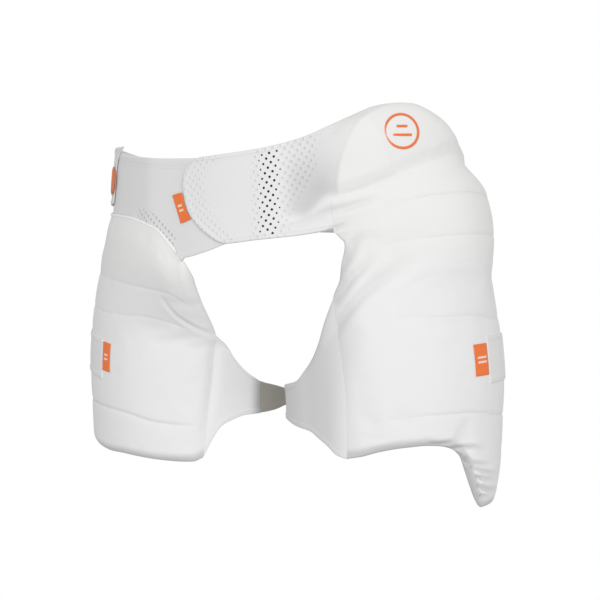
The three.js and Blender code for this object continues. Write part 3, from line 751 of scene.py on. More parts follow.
class Shell:
    """A closed mesh between an outer and an inner grid of points, with a flat cloth map."""

    def __init__(self, name, side, outer, inner, flat, marks, joined=()):
        self.columns, self.rows = outer.shape[:2]
        self.side = side
        self.flat = flat
        points = np.concatenate([outer.reshape(-1, 3), inner.reshape(-1, 3)]) * MM
        mesh = bpy.data.meshes.new(name)
        mesh.from_pydata(points.tolist(), [], self.faces().tolist())
        set_cloth_map(mesh, np.tile(flat.reshape(-1, 2), (2, 1)))
        for mark, values in marks.items():
            set_marks(mesh, mark, "FLOAT", "POINT", np.stack([values, values]))
        mesh.polygons.foreach_set("use_smooth", np.ones(len(mesh.polygons), bool))
        self.keep_square(mesh, joined)
        mesh.update()
        self.object = in_scene(name, mesh)

    def keep_square(self, mesh, joined):
        """Keeps the sides that meet another piece square, so that the cover runs on without a line."""
        grid = np.arange(self.columns * self.rows).reshape(self.columns, self.rows)
        sides = {"inner": grid[0], "outer": grid[-1], "low": grid[:, 0], "top": grid[:, -1]}
        pairs = np.empty(len(mesh.edges) * 2, np.int32)
        mesh.edges.foreach_get("vertices", pairs)
        pairs = pairs.reshape(-1, 2)
        square = np.zeros(len(pairs), bool)
        for name in joined:
            for line in (sides[name], sides[name] + grid.size):
                square |= np.isin(pairs, line).all(1)
        set_marks(mesh, "sharp_edge", "BOOLEAN", "EDGE", square)
        set_marks(mesh, "crease_edge", "FLOAT", "EDGE", square)

    def faces(self):
        columns, rows = self.columns, self.rows
        i, j = np.meshgrid(np.arange(columns - 1), np.arange(rows - 1), indexing="ij")
        corner = lambda a, b, face: (face * columns + a) * rows + b
        i, j = i.ravel(), j.ravel()
        quads = [
            (corner(i, j, 0), corner(i + 1, j, 0), corner(i + 1, j + 1, 0), corner(i, j + 1, 0)),
            (corner(i, j, 1), corner(i, j + 1, 1), corner(i + 1, j + 1, 1), corner(i + 1, j, 1)),
        ]
        a, b = np.arange(columns - 1), np.arange(rows - 1)
        low, top, end = 0 * a, 0 * a + rows - 1, 0 * b + columns - 1
        quads += [
            (corner(a, low, 1), corner(a + 1, low, 1), corner(a + 1, low, 0), corner(a, low, 0)),
            (corner(a, top, 0), corner(a + 1, top, 0), corner(a + 1, top, 1), corner(a, top, 1)),
            (corner(0 * b, b, 1), corner(0 * b, b, 0), corner(0 * b, b + 1, 0), corner(0 * b, b + 1, 1)),
            (corner(end, b, 0), corner(end, b, 1), corner(end, b + 1, 1), corner(end, b + 1, 0)),
        ]
        quads = np.concatenate([np.stack(quad, -1) for quad in quads])
        return quads if self.side > 0 else quads[:, ::-1]

    def points(self):
        """The outer grid as the mesh has it now, and its normals."""
        mesh = self.object.data
        count = len(mesh.vertices)
        found = np.empty(count * 3, np.float32)
        normals = np.empty(count * 3, np.float32)
        mesh.vertices.foreach_get("co", found)
        mesh.vertex_normals.foreach_get("vector", normals)
        shape = (2, self.columns, self.rows, 3)
        return found.reshape(shape)[0].astype(float), normals.reshape(shape)[0].astype(float)

    def flat_size(self):
        """Width, length and area of the cut cloth, in metres."""
        span = np.ptp(self.flat.reshape(-1, 2), axis=0) * MM
        across = self.flat[1:, 1:] - self.flat[:-1, :-1]
        down = self.flat[1:, :-1] - self.flat[:-1, 1:]
        area = np.abs(across[..., 0] * down[..., 1] - across[..., 1] * down[..., 0]).sum() / 2 * MM**2
        return (float(span[0]), float(span[1])), float(area)


# Materials

class Wire:
    """One value in a tree of nodes, ready for arithmetic."""

    def __init__(self, nodes, socket):
        self.nodes, self.socket = nodes, socket

    def math(self, operation, *values):
        return self.nodes.node("ShaderNodeMath", {"operation": operation}, dict(enumerate(values)))

    def __add__(self, other):
        return self.math("ADD", self, other)

    __radd__ = __add__

    def __sub__(self, other):
        return self.math("SUBTRACT", self, other)

    def __rsub__(self, other):
        return self.math("SUBTRACT", other, self)

    def __mul__(self, other):
        return self.math("MULTIPLY", self, other)

    def __truediv__(self, other):
        return self.math("DIVIDE", self, other)

    def __pow__(self, other):
        return self.math("POWER", self, other)


class Nodes:
    """A tree of nodes that are made and fed one at a time."""

    def __init__(self, tree):
        self.tree = tree

    def node(self, kind, settings=None, inputs=None, output=0):
        made = self.tree.nodes.new(kind)
        for name, value in (settings or {}).items():
            setattr(made, name, value)
        for name, value in (inputs or {}).items():
            self.feed(made.inputs[name], value)
        return Wire(self, made.outputs[output])

    def feed(self, socket, value):
        if isinstance(value, Wire):
            self.tree.links.new(value.socket, socket)
        else:
            socket.default_value = value


class Finish(Nodes):
    """A material made of nodes."""

    def __init__(self, name, **shader):
        self.material = bpy.data.materials.new(name)
        self.material.use_nodes = True
        super().__init__(self.material.node_tree)
        self.tree.nodes.clear()
        self.shader = self.tree.nodes.new("ShaderNodeBsdfPrincipled")
        output = self.tree.nodes.new("ShaderNodeOutputMaterial")
        self.tree.links.new(self.shader.outputs[0], output.inputs["Surface"])
        for socket, value in shader.items():
            self.shader.inputs[socket.replace("_", " ")].default_value = value

    def surface(self, **inputs):
        for socket, value in inputs.items():
            self.feed(self.shader.inputs[socket.replace("_", " ")], value)
        return self.material

    def cloth_map(self):
        """Millimetres across and up the cloth laid flat."""
        uv = self.node("ShaderNodeUVMap", {"uv_map": "cloth"})
        across = self.node("ShaderNodeSeparateXYZ", inputs={0: uv}, output=0)
        up = self.node("ShaderNodeSeparateXYZ", inputs={0: uv}, output=1)
        return uv, across * 1000, up * 1000

    def mark(self, name):
        return self.node("ShaderNodeAttribute", {"attribute_name": name}, output=2)

    def noise(self, vector, scale, detail=3.0):
        inputs = {"Vector": vector, "Scale": scale, "Detail": detail}
        return self.node("ShaderNodeTexNoise", inputs=inputs)

    def wave(self, value, pitch):
        """A sine between 0 and 1 that repeats every pitch."""
        turn = value * (2 * math.pi / pitch)
        return self.node("ShaderNodeMath", {"operation": "SINE"}, {0: turn}) * 0.5 + 0.5

    def clamp(self, value):
        return self.node("ShaderNodeClamp", inputs={"Value": value, "Min": 0.0, "Max": 1.0})

    def mix(self, share, a, b):
        inputs = {0: share, 6: a, 7: b}
        return self.node("ShaderNodeMix", {"data_type": "RGBA"}, inputs, output=2)

    def bump(self, height, distance, strength=1.0):
        inputs = {"Height": height, "Distance": distance, "Strength": strength}
        return self.node("ShaderNodeBump", inputs=inputs)


def shade(color, by):
    return tuple(c * by for c in color[:3]) + (1.0,)


def knit(finish, across, up, wale=1.3, course=0.95):
    """Height of a plain knit: columns of loops that lean to both sides."""
    column = finish.wave(across, wale)
    lean = finish.node("ShaderNodeMath", {"operation": "PINGPONG"}, {0: across, 1: wale / 2})
    loops = finish.wave(up + lean * 0.7, course)
    return column * 0.55 + loops * 0.45


def stretch_cloth(name, color, grey=0.12, warm=0.0):
    """Matte stretch knit, a little darker in its seams, with painted shade in its creases and wherever else
    its pressed mark carries it.
    """
    finish = Finish(name, Sheen_Weight=0.25, Sheen_Roughness=0.5, Specular_IOR_Level=0.25)
    uv, across, up = finish.cloth_map()
    weave = knit(finish, across, up)
    cloudy = finish.noise(uv, 9.0)
    fuzz = finish.noise(uv, 420.0, 2.0)
    pressed = finish.clamp(finish.mark("pressed"))
    tone = finish.clamp(finish.mark("warm") * warm)
    base = finish.mix(tone, color, (color[0], color[1], color[2] * 0.95, 1))
    # The pressed mark darkens the seams and carries the painted shade of hems, folds and hollows.
    toned = finish.mix(pressed * grey + (1 - weave) * 0.05 + fuzz * 0.02, base, shade(color, 0.45))
    bump = finish.bump(weave * 0.8 + fuzz * 0.5 + cloudy * 0.6, 0.00022, 0.4)
    return finish.surface(Base_Color=toned, Roughness=0.86 + fuzz * 0.1, Normal=bump)


def ribbed_elastic(name, color, rib=1.6):
    """Woven elastic: fine ribs along its length, crossed by its picks."""
    finish = Finish(name, Sheen_Weight=0.15, Sheen_Roughness=0.5, Specular_IOR_Level=0.3)
    uv, across, up = finish.cloth_map()
    ribs = finish.wave(up, rib)
    picks = finish.wave(across, 0.9)
    cloudy = finish.noise(uv, 14.0)
    weave = ribs * 0.65 + picks * 0.35
    woven = finish.mix(cloudy, shade(color, 0.94), shade(color, 1.04))
    base = finish.mix(finish.clamp(finish.mark("pale")), woven, SHADED_WHITE)
    toned = finish.mix((1 - weave) * 0.16, base, shade(color, 0.4))
    bump = finish.bump(weave, 0.00025, 0.6)
    return finish.surface(Base_Color=toned, Roughness=0.82 + cloudy * 0.1, Normal=bump)


def mesh_cells(finish, across, up, radius):
    """1 in the middle of each cell of a slanting mesh, falling to 0 round it."""
    (ax, ay), (bx, by) = MESH_STEPS["along"], MESH_STEPS["beside"]
    whole = ax * by - ay * bx
    shares = (across * (by / whole) - up * (bx / whole), up * (ax / whole) - across * (ay / whole))
    s, t = (finish.node("ShaderNodeMath", {"operation": "FRACT"}, {0: share}) - 0.5 for share in shares)
    x, y = s * ax + t * bx, s * ay + t * by
    return finish.clamp(1.5 - (x * x + y * y) ** 0.5 / radius)


def air_mesh(name, color, dark=0.2):
    """Knit with small dimpled cells in slanting rows, where the mark says so."""
    finish = Finish(name, Sheen_Weight=0.2, Sheen_Roughness=0.5, Specular_IOR_Level=0.25)
    uv, across, up = finish.cloth_map()
    weave = knit(finish, across, up)
    cells = mesh_cells(finish, across, up, 1.25) * finish.clamp(finish.mark("mesh"))
    rims = mesh_cells(finish, across, up, 2.1) * finish.clamp(finish.mark("mesh")) - cells
    cloudy = finish.noise(uv, 9.0)
    pressed = finish.clamp(finish.mark("pressed"))
    base = finish.mix(cloudy, shade(color, 0.97), shade(color, 1.02))
    # Its pressed mark is painted shade in the hollow by the hip guard.
    toned = finish.mix(cells * dark + pressed * 0.45 + (1 - weave) * 0.05, base, shade(color, 0.42))
    bump = finish.bump(weave * 0.2 + rims * 0.7 - cells, 0.0006, 0.7)
    return finish.surface(Base_Color=toned, Roughness=0.88 + cloudy * 0.08, Normal=bump)


def painted_hole_shadow(name):
    """A near-black lining at the bottom of the holes: painted shadow for the shade inside them."""
    finish = Finish(name, Specular_IOR_Level=0.2)
    place = finish.node("ShaderNodeTexCoord", output=3)
    fibres = finish.noise(place, 1800.0, 2.0)
    base = finish.mix(fibres, *HOLE_SHADOW_GREYS)
    return finish.surface(Base_Color=base, Roughness=0.85 + fibres * 0.1)


def woven_label(name, color):
    """Woven ribbon with a slanting twill and two pale bars."""
    finish = Finish(name, Sheen_Weight=0.1, Specular_IOR_Level=0.35)
    uv, across, up = finish.cloth_map()
    twill = finish.wave(across + up, 0.9)
    picks = finish.wave(up - across * 0.2, 0.7)
    cloudy = finish.noise(uv, 60.0)
    weave = twill * 0.6 + picks * 0.4
    base = finish.mix(cloudy, shade(color, 0.9), shade(color, 1.08))
    toned = finish.mix((1 - weave) * 0.25, base, shade(color, 0.45))
    bar = finish.clamp(finish.mark("bar"))
    barred = finish.mix(bar, toned, CREAM)
    bump = finish.bump(weave, 0.0002, 0.6)
    return finish.surface(Base_Color=barred, Roughness=0.62 + cloudy * 0.15, Normal=bump)


def sewing_thread(name, color):
    finish = Finish(name, Sheen_Weight=0.15, Specular_IOR_Level=0.4)
    place = finish.node("ShaderNodeTexCoord", output=3)
    ply = finish.noise(place, 2600.0, 2.0)
    base = finish.mix(ply, shade(color, 0.8), shade(color, 1.05))
    return finish.surface(Base_Color=base, Roughness=0.6 + ply * 0.2, Normal=finish.bump(ply, 0.0001, 0.5))


def pale_floor(name):
    """Pale round the object, and thinning out to nothing so that it has no edge."""
    finish = Finish(name, Specular_IOR_Level=0.1)
    place = finish.node("ShaderNodeTexCoord", output=3)
    away = finish.node("ShaderNodeVectorMath", {"operation": "LENGTH"}, {0: place}, output=1)
    left = finish.node("ShaderNodeMapRange", {"interpolation_type": "SMOOTHSTEP"}, {
        "Value": away, "From Min": FLOOR["plain"], "From Max": FLOOR["reach"], "To Min": 1.0, "To Max": 0.0,
    })
    cloudy = finish.noise(place, 3.0)
    base = finish.mix(cloudy, shade(FLOOR["color"], 0.99), shade(FLOOR["color"], 1.01))
    return finish.surface(Base_Color=base, Roughness=0.88 + cloudy * 0.05, Alpha=left)


# The pad cloth shows the painted shade of its pressed mark.
PAD_CLOTH = stretch_cloth("pad_cloth", WHITE, 0.45, warm=0.3)
# The wing knit takes its painted shade strongly.
WING_KNIT = stretch_cloth("wing_knit", WHITE, 0.9)
TAB_CLOTH = stretch_cloth("tab_cloth", SHADED_WHITE)
TAB_MESH = air_mesh("tab_mesh", WHITE)
BELT_MESH = air_mesh("belt_mesh", SHADED_WHITE, 0.5)
HOLE_SHADOW = painted_hole_shadow("hole_lining")
STRAP_ELASTIC = ribbed_elastic("strap_elastic", SHADED_BEIGE)
LABEL_RIBBON = woven_label("label_ribbon", ORANGE)
PIPING_CLOTH = stretch_cloth("piping_cloth", BRIGHT_WHITE, 0.0)
WHITE_THREAD = sewing_thread("white_thread", THREAD_WHITE)
ORANGE_THREAD = sewing_thread("orange_thread", ORANGE)


def dress(thing, node, material):
    """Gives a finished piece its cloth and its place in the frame."""
    thing.name = thing.data.name = node + "_cloth"
    if material:
        thing.data.materials.clear()
        thing.data.materials.append(material)
    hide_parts(node)
    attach(thing, "root")
    return thing


# Thigh pads

def crease_depth(folds, across, height):
    """How far the folds press in at points given by millimetres across and height."""
    depth = np.zeros_like(across)
    point = np.stack([across, height], -1)
    for fold in np.unique(folds["fold"]):
        steps = np.flatnonzero(folds["fold"] == fold)
        path = np.stack([folds["across"][steps], folds["height"][steps]], -1)
        depths, widths = folds["depth"][steps], folds["width"][steps]
        nearest, deep, wide = np.full_like(across, np.inf), np.zeros_like(across), np.ones_like(across)
        for k in range(len(steps) - 1):
            run = path[k + 1] - path[k]
            share = np.clip((point - path[k]) @ run / (run @ run), 0, 1)
            away = np.linalg.norm(point - path[k] - share[..., None] * run, axis=-1)
            closer = away < nearest
            nearest = np.where(closer, away, nearest)
            deep = np.where(closer, lerp(depths[k], depths[k + 1], share), deep)
            wide = np.where(closer, lerp(widths[k], widths[k + 1], share), wide)
        beside = nearest / wide
        ridge = FOLD_RIDGE["share"] * np.exp(-((beside - FOLD_RIDGE["beside"]) ** 2))
        depth += deep * (np.exp(-(beside**2)) - ridge)
    return depth


def waist_creases(angle, height):
    """Folds that cross from the closure to the hip guard and the left pad."""
    folds = dict(WAIST_FOLDS, across=WAIST_FOLDS["angle"] * WAIST_ARC)
    return crease_depth(folds, angle * WAIST_ARC, height)


inner_painted_shade_reach = curves(INNER_PAINTED_SHADE_REACH, "height", "end", "ease")
tail_facing = curve(TAIL_FACING, "height", "angle")


def inner_painted_shade(angle, height):
    """Painted shade up the inner side of the left leg, where the cloth turns away from the light."""
    end, ease = inner_painted_shade_reach(height)
    return INNER_PAINTED_SHADE["deep"] * fall(angle, end, ease) * fall(height, INNER_PAINTED_SHADE["top"], INNER_PAINTED_SHADE["over"])


def edge_painted_shade(margin):
    """Painted shade along the free inner edge of the left leg, where it turns away from the light."""
    return EDGE_PAINTED_SHADE["deep"] * fall(margin, EDGE_PAINTED_SHADE["wide"], EDGE_PAINTED_SHADE["wide"])


def valley_painted_shade(angle, height):
    """Painted shade in the hollow between the closure and the hip guard's front panel."""
    valley = VALLEY_PAINTED_SHADE
    deep = lerp(valley["low"], valley["high"], rise(height, valley["from"], valley["over"]))
    foot = lerp(*valley["foot"], rise(angle, valley["foot_from"], valley["foot_over"]))
    front = rise(angle, valley["front"], valley["ease"])
    rear = smooth((hip_foam_edge(height) - angle) / valley["rear_ease"] + 0.5)
    return deep * front * rear * rise(height, foot, valley["foot_ease"])


def waist_painted_shade(angle, height):
    """That painted shade, and painted shade in the folds that cross the hollow."""
    folded = FOLD_PAINTED_SHADE["each_mm"] * np.maximum(waist_creases(angle, height), 0)
    return valley_painted_shade(angle, height) + folded


def under(piece, angle, height, ease=8.0):
    """1 where a tab or label lies, easing to 0 around it."""
    across = np.minimum(angle - piece["from"], piece["to"] - angle) * LEG_ARC
    up = np.minimum(height - piece["hem"], piece["top"] - height)
    return smooth(np.minimum(across, up) / ease + 1)


class Pad(Patch):
    """A quilted foam pad: rolled rim, pillowed panels, pressed seams and creases."""

    def __init__(self, surface, side, rows, edge_rows, sizes, folds, columns, tabs):
        inner = curve(edge_rows, "height", "inner")
        edges = lambda height: (inner(height), np.full_like(height, sizes["outer"]))
        super().__init__(surface, side, edges, curves(rows, "angle", *columns), leg_run, ("outer", "low"))
        self.sizes, self.tabs = sizes, tabs
        self.folds = dict(folds, across=folds["angle"] * LEG_ARC)

    def extra(self, angle, height):
        """The right pad is thinner over the top of the flank."""
        hollow = np.exp(-(((height - HOLLOW["height"]) / HOLLOW["over"]) ** 2))
        return -HOLLOW["deep"] * hollow * rise(angle, HOLLOW["front"], HOLLOW["ease"])

    def low_roll(self, angle):
        """How far up from the hem the cover rounds over."""
        return self.sizes["roll"]["low"]

    def relief(self, angle, height):
        """Thickness, and how strongly seams and creases press the cloth."""
        sizes, roll = self.sizes, self.sizes["roll"]
        lines = self.lines(angle)
        margins = self.margins(angle, height)
        panel = (height > lines[1:-1]).sum(0)
        low = np.take_along_axis(lines, panel[None], 0)[0]
        high = np.take_along_axis(lines, panel[None] + 1, 0)[0]
        share = np.clip((height - low) / (high - low), 0, 1)
        foam = np.array(sizes["panels"], float)
        beside = np.clip(panel + np.where(share < 0.5, -1, 1), 0, len(foam) - 1)
        thick = lerp(foam[panel], foam[beside], np.abs(share - 0.5))
        rolled = quarter_round(margins["outer"] / roll["outer"])
        rolled = rolled * quarter_round(margins["low"] / self.low_roll(angle))
        inside = smooth(margins["inner"] / roll["inner"])
        body = sizes["rim"] + (thick - sizes["rim"] + PAD_EDGE["pillow"] * np.sin(np.pi * share)) * rolled
        body = lerp(self.inner_edge(height), body, arched(margins["inner"] / roll["inner"]))
        body = lerp(self.top_edge(angle), body, self.top_share(margins["top"] / roll["top"]))
        shown = inside * ramp(angle, sizes["seams_from"], sizes["seams_full"])
        strength = np.reshape(sizes["seams"], (-1,) + (1,) * np.ndim(angle))
        away = (height - lines[1:-1]) / SEAM["width"]
        seams = (strength * np.exp(-(away**2))).sum(0) * shown
        creases = self.creases(angle, height)
        thickness = np.maximum(body + self.extra(angle, height) - seams - creases, PAD_EDGE["thinnest"])
        return thickness, seams, creases

    def creases(self, angle, height):
        return crease_depth(self.folds, angle * LEG_ARC, height)

    def inner_edge(self, height):
        """Thickness at the inner upright edge."""
        return np.full_like(height, self.sizes["rim"])

    def top_edge(self, angle):
        """Thickness at the top seam."""
        return np.full_like(angle, self.sizes["top_edge"])

    top_share = staticmethod(arched)

    def stand_off(self, angle, height):
        """How far the cover stands off the leg where the pad runs into its wing."""
        inner, foot = self.ends(height)[0], self.sizes["foot"]
        reach = np.where(angle < inner, (angle - foot) / (inner - foot),
                         1 - (angle - inner) * LEG_ARC / self.sizes["roll"]["inner"])
        low, high = STAND_OFF["full_below"], STAND_OFF["none_above"]
        return self.sizes["stand_off"] * smooth(reach) * fall(height, high, high - low)

    def shares(self, spacing):
        """Shares across and up the pad that give cells of about one size."""
        ends = self.ends(np.array(PAD_CELL["mid_height"]))
        heights = np.diff(self.lines(lerp(*ends, 0.5)))
        along_hem = np.linspace(PAD_CELL["hem_from"], PAD_CELL["hem_to"], 31)
        heights[0] = np.max([np.diff(self.lines(np.array(a)))[0] for a in along_hem])
        vs = np.concatenate([k + crowded(tall, spacing, (0, 1, 2.4)) for k, tall in enumerate(heights)])
        width = np.diff(ends)[0] * LEG_ARC
        return crowded(width, spacing), np.unique(np.round(vs, 6))

    def build(self, name, spacing, swollen=None):
        """The pad as a mesh, with the way that its cover has swollen laid over it."""
        sizes = self.sizes
        us, vs = self.shares(spacing)
        angle, height = self.place(us, vs)
        thickness, seams, creases = self.relief(angle, height)
        margins = self.margins(angle, height)
        low, high = sizes["join"]
        joined = rise(height, low, PAD_EDGE["join_ease"]) * fall(height, high, PAD_EDGE["join_ease"])
        joined = np.maximum(joined, self.joined_above(height))
        half_rim = sizes["rim"] / 2
        free = np.minimum(rounded(margins, half_rim, ("low", "outer")),
                          np.maximum(rounded(margins, half_rim, ("inner",)), joined))
        stand = self.stand_off(angle, height)
        outer = stand + half_rim + (thickness - half_rim) * free
        inner = stand + half_rim - half_rim * free + SEAM["lining"] * seams * (free > 0.9)
        cover = self.at(angle, height, outer)
        if swollen:
            cover = cover + spread(*swollen, us, vs)
        warm = rise(height, WARM_PANELS["from"], WARM_PANELS["over"])
        # The pressed mark: a little darker in the seams, with painted shade in the folds, along the hems
        # and in the left pad's own places.
        gathered = fall(height, FOLD_PAINTED_SHADE["below"], FOLD_PAINTED_SHADE["ease"])
        folded = np.maximum(creases, 0) * lerp(FOLD_PAINTED_SHADE["each_mm"], FOLD_PAINTED_SHADE["gathered"], gathered)
        pressed = np.clip(seams * SEAM_GREY + folded + self.painted_shade(angle, height), 0, 1)
        shell = Shell(name, self.side, cover, self.at(angle, height, inner), self.flat(angle, height),
                      {"pressed": pressed, "warm": warm}, ("inner", "top"))
        tabs = [under(tab, angle, height) for tab in self.tabs]
        folded = np.clip(creases / HELD["crease"], 0, 1)
        shell.held = np.clip(np.max([sewn_edges(margins), seams, folded, *tabs], axis=0), 0, 1)
        shell.us, shell.vs = us, vs
        return shell

    def joined_above(self, height):
        """1 where the inner edge meets another piece above the wing."""
        return np.zeros_like(height)

    def painted_shade(self, angle, height):
        """Painted shade that darkens the cloth towards its hem, where it rolls under."""
        above_hem = self.margins(angle, height)["low"]
        return HEM_PAINTED_SHADE["deep"] * fall(above_hem, HEM_PAINTED_SHADE["from"], HEM_PAINTED_SHADE["over"])


class LeftPad(Pad):
    """The left pad's hip panels are built up over the flank."""

    flank = staticmethod(curve(LEFT_FLANK, "height", "extra"))
    top_share = staticmethod(smooth)

    def extra(self, angle, height):
        margins = self.margins(angle, height)
        roll = self.sizes["roll"]
        share = ramp(angle, FLANK["front"], FLANK["full"])
        top = margins["top"] / roll["top"]
        rolled = lerp(smooth(top), quarter_round(top), share)
        ended = quarter_round(margins["outer"] / (3 * roll["outer"]))
        return self.flank(height) * share * rolled * ended

    def low_roll(self, angle):
        """The tail is flatter: it rounds over all the way across."""
        share = ramp(angle, TAIL["front"], TAIL["full"])
        return lerp(super().low_roll(angle), TAIL["roll"], share)

    def creases(self, angle, height):
        """Its own folds, and those that run on from the closure."""
        return super().creases(angle, height) + waist_creases(*self.on_waist(angle, height))

    def on_waist(self, angle, height):
        point = self.surface(angle, height)
        return waist_angle(point), point[..., 2]

    def inner_edge(self, height):
        """As thick as the closure where the two meet."""
        return super().inner_edge(height) + hip_rise(*self.on_waist(self.edges(height)[0], height))

    def top_edge(self, angle):
        """As thick as the hip guard, so that the cover runs on over the seam."""
        return hip_relief(*self.on_waist(angle, self.lines(angle)[-1]))[0]

    def joined_above(self, height):
        return rise(height, PAD_EDGE["closure_from"], PAD_EDGE["closure_ease"])

    def painted_shade(self, angle, height):
        """Painted shade also up the inner side and edge of the leg, along the tail's facing and by the
        closure.
        """
        facing = FACING_PAINTED_SHADE["deep"] * fall(angle, tail_facing(height), FACING_PAINTED_SHADE["ease"])
        facing = facing * fall(height, FACING_PAINTED_SHADE["below"], FACING_PAINTED_SHADE["over"])
        valley = valley_painted_shade(*self.on_waist(angle, height))
        edge = edge_painted_shade(self.margins(angle, height)["inner"])
        edge = edge * fall(height, EDGE_PAINTED_SHADE["top"], EDGE_PAINTED_SHADE["over"])
        edge = edge * rise(height, EDGE_PAINTED_SHADE["foot"], EDGE_PAINTED_SHADE["ease"])
        return super().painted_shade(angle, height) + inner_painted_shade(angle, height) + facing + valley + edge


right_pad = Pad(right_leg, RIGHT, RIGHT_LEVELS, RIGHT_EDGES, RIGHT_PAD, RIGHT_FOLDS,
                ("hem", "low", "middle", "high", "top"), (RIGHT_TAB, RIGHT_LABEL))
left_pad = LeftPad(left_leg, LEFT, LEFT_LEVELS, LEFT_EDGES, LEFT_PAD, LEFT_FOLDS,
                   ("hem", "low", "middle", "high", "shoulder", "top"), (LEFT_TAB, LEFT_LABEL))


def swell(shell, limit=2.5):
    """Lets a cover swell over its foam between the seams, and gives the way each point moves."""
    thing = shell.object
    group = thing.vertex_groups.new(name="sewn")
    weights = np.concatenate([shell.held.ravel(), np.ones(shell.held.size)])
    for step in np.linspace(0, 1, 11):
        chosen = np.flatnonzero(np.abs(weights - step) <= 0.05)
        group.add(chosen.tolist(), float(step), "REPLACE")
    start, _ = shell.points()
    cover = thing.modifiers.new("cover", "CLOTH")
    cover.settings.vertex_group_mass = "sewn"
    cover.settings.effector_weights.gravity = 0
    for setting, value in COVER_CLOTH.items():
        setattr(cover.settings, setting, value)
    cover.point_cache.frame_start, cover.point_cache.frame_end = 1, COVER_FRAMES
    scene = bpy.context.scene
    for number in range(1, COVER_FRAMES + 1):
        scene.frame_set(number)
    shaped = thing.evaluated_get(bpy.context.evaluated_depsgraph_get()).data
    found = np.empty(len(shaped.vertices) * 3, np.float32)
    shaped.vertices.foreach_get("co", found)
    scene.frame_set(1)
    move = (found.reshape(2, shell.columns, shell.rows, 3)[0] - start) / MM
    far = np.linalg.norm(move, axis=-1, keepdims=True)
    mesh = thing.data
    bpy.data.objects.remove(thing)
    bpy.data.meshes.remove(mesh)
    return move * np.minimum(1, limit / np.maximum(far, 1e-6)), shell.us, shell.vs


def spread(values, us, vs, new_us, new_vs):
    """Values on one grid of shares, read at a finer grid and evened out."""
    for axis, old, new in ((0, us, new_us), (1, vs, new_vs)):
        values = np.moveaxis(values, axis, 0)
        k = np.clip(np.searchsorted(old, new, side="right") - 1, 0, len(old) - 2)
        share = ((new - old[k]) / (old[k + 1] - old[k]))[:, None, None]
        values = lerp(values[k], values[k + 1], share)
        for _ in range(3):
            values[1:-1] = (values[:-2] + 2 * values[1:-1] + values[2:]) / 4
        values = np.moveaxis(values, 0, axis)
    return values


def make_pads():
    shells = {}
    for name, pad in (("right_thigh_pad", right_pad), ("left_thigh_pad", left_pad)):
        swollen = swell(pad.build(name + "_foam", PAD_CELL["foam"]))
        shell = pad.build(name, PAD_CELL["cover"], swollen)
        dress(shell.object, name, PAD_CLOTH)
        shells[name] = shell
    return shells


# Wings, straps, tabs and labels

def lay_sheet(shell, node, material):
    dress(shell.object, node, material)
    flat, area = shell.flat_size()
    return shell


def hemmed(margins, ends, width=6.0, lift=0.5, ease=1.2):
    """The turned edge of a piece of cloth."""
    nearest = np.min([margins[end] for end in ends], axis=0)
    return lift * fall(nearest, width, ease)


def cloth_piece(name, patch, spacing, thick, base, free, hem=None, marks=None, joined=()):
    """A sheet of cloth on a surface, with rounded free edges and a turned hem."""
    probe_angle, probe_height = patch.place(np.array([0.0, 0.5, 1.0]), np.array([0.0, 0.5, 1.0]))
    width = np.abs(np.diff(patch.run(probe_angle[[0, 2], 1])))[0]
    tall = max(np.ptp(probe_height[k]) for k in range(3))
    angle, height = patch.place(crowded(width, spacing), crowded(tall, spacing))
    margins = patch.margins(angle, height)

    def face(angle, height):
        """How far the outer face lies off the surface."""
        turned = hemmed(patch.margins(angle, height), hem) if hem else 0
        return base(angle, height) + (thick(angle, height) if callable(thick) else thick) + turned

    low, top = base(angle, height), face(angle, height)
    round_edge = rounded(margins, EDGE["round"], free)
    centre = low + np.minimum(top - low, CLOTH) / 2
    outer = centre + (top - centre) * round_edge
    inner = centre + (low - centre) * round_edge
    found = {key: value(angle, height, margins) for key, value in (marks or {}).items()}
    shell = Shell(name, patch.side, patch.at(angle, height, outer), patch.at(angle, height, inner),
                  patch.flat(angle, height), found, joined)
    shell.patch, shell.face = patch, face
    return shell


def make_wing(name, pad, rows, end):
    edges = lambda height: (np.full_like(height, end), pad.edges(height)[0])
    patch = Patch(pad.surface, pad.side, edges, curves(rows, "angle", "hem", "top"), leg_run, ("inner",))

    def thick(angle, height):
        margins = patch.margins(angle, height)
        hem = hemmed(margins, ("low", "top")) * smooth(margins["outer"] / WING["hem_from"])
        return lerp(pad.sizes["rim"], WING_CLOTH, smooth(margins["outer"] / WING["thin_from"])) + hem

    def base(angle, height):
        return pad.stand_off(angle, height) - pad.creases(angle, height)

    # Painted shade: the wing darkens towards the strap, where it curves away from the light, and on the
    # left leg it takes the leg's painted shade.
    def pressed(angle, height, margins):
        strap_shade = fall(margins["inner"], WING["strap_shade_reach"], WING["strap_shade_reach"]) ** 2
        edge = edge_painted_shade(margins["top"]) * rise(angle, EDGE_PAINTED_SHADE["reach"], EDGE_PAINTED_SHADE["ease"])
        inside = WING["grey"] * (inner_painted_shade(angle, height) + edge)
        return np.maximum(strap_shade, inside * (pad.side == LEFT))

    shell = cloth_piece(name, patch, CELL["wing"], thick, base, ("low", "top"),
                        marks={"pressed": pressed}, joined=("outer",))
    return lay_sheet(shell, name, WING_KNIT)


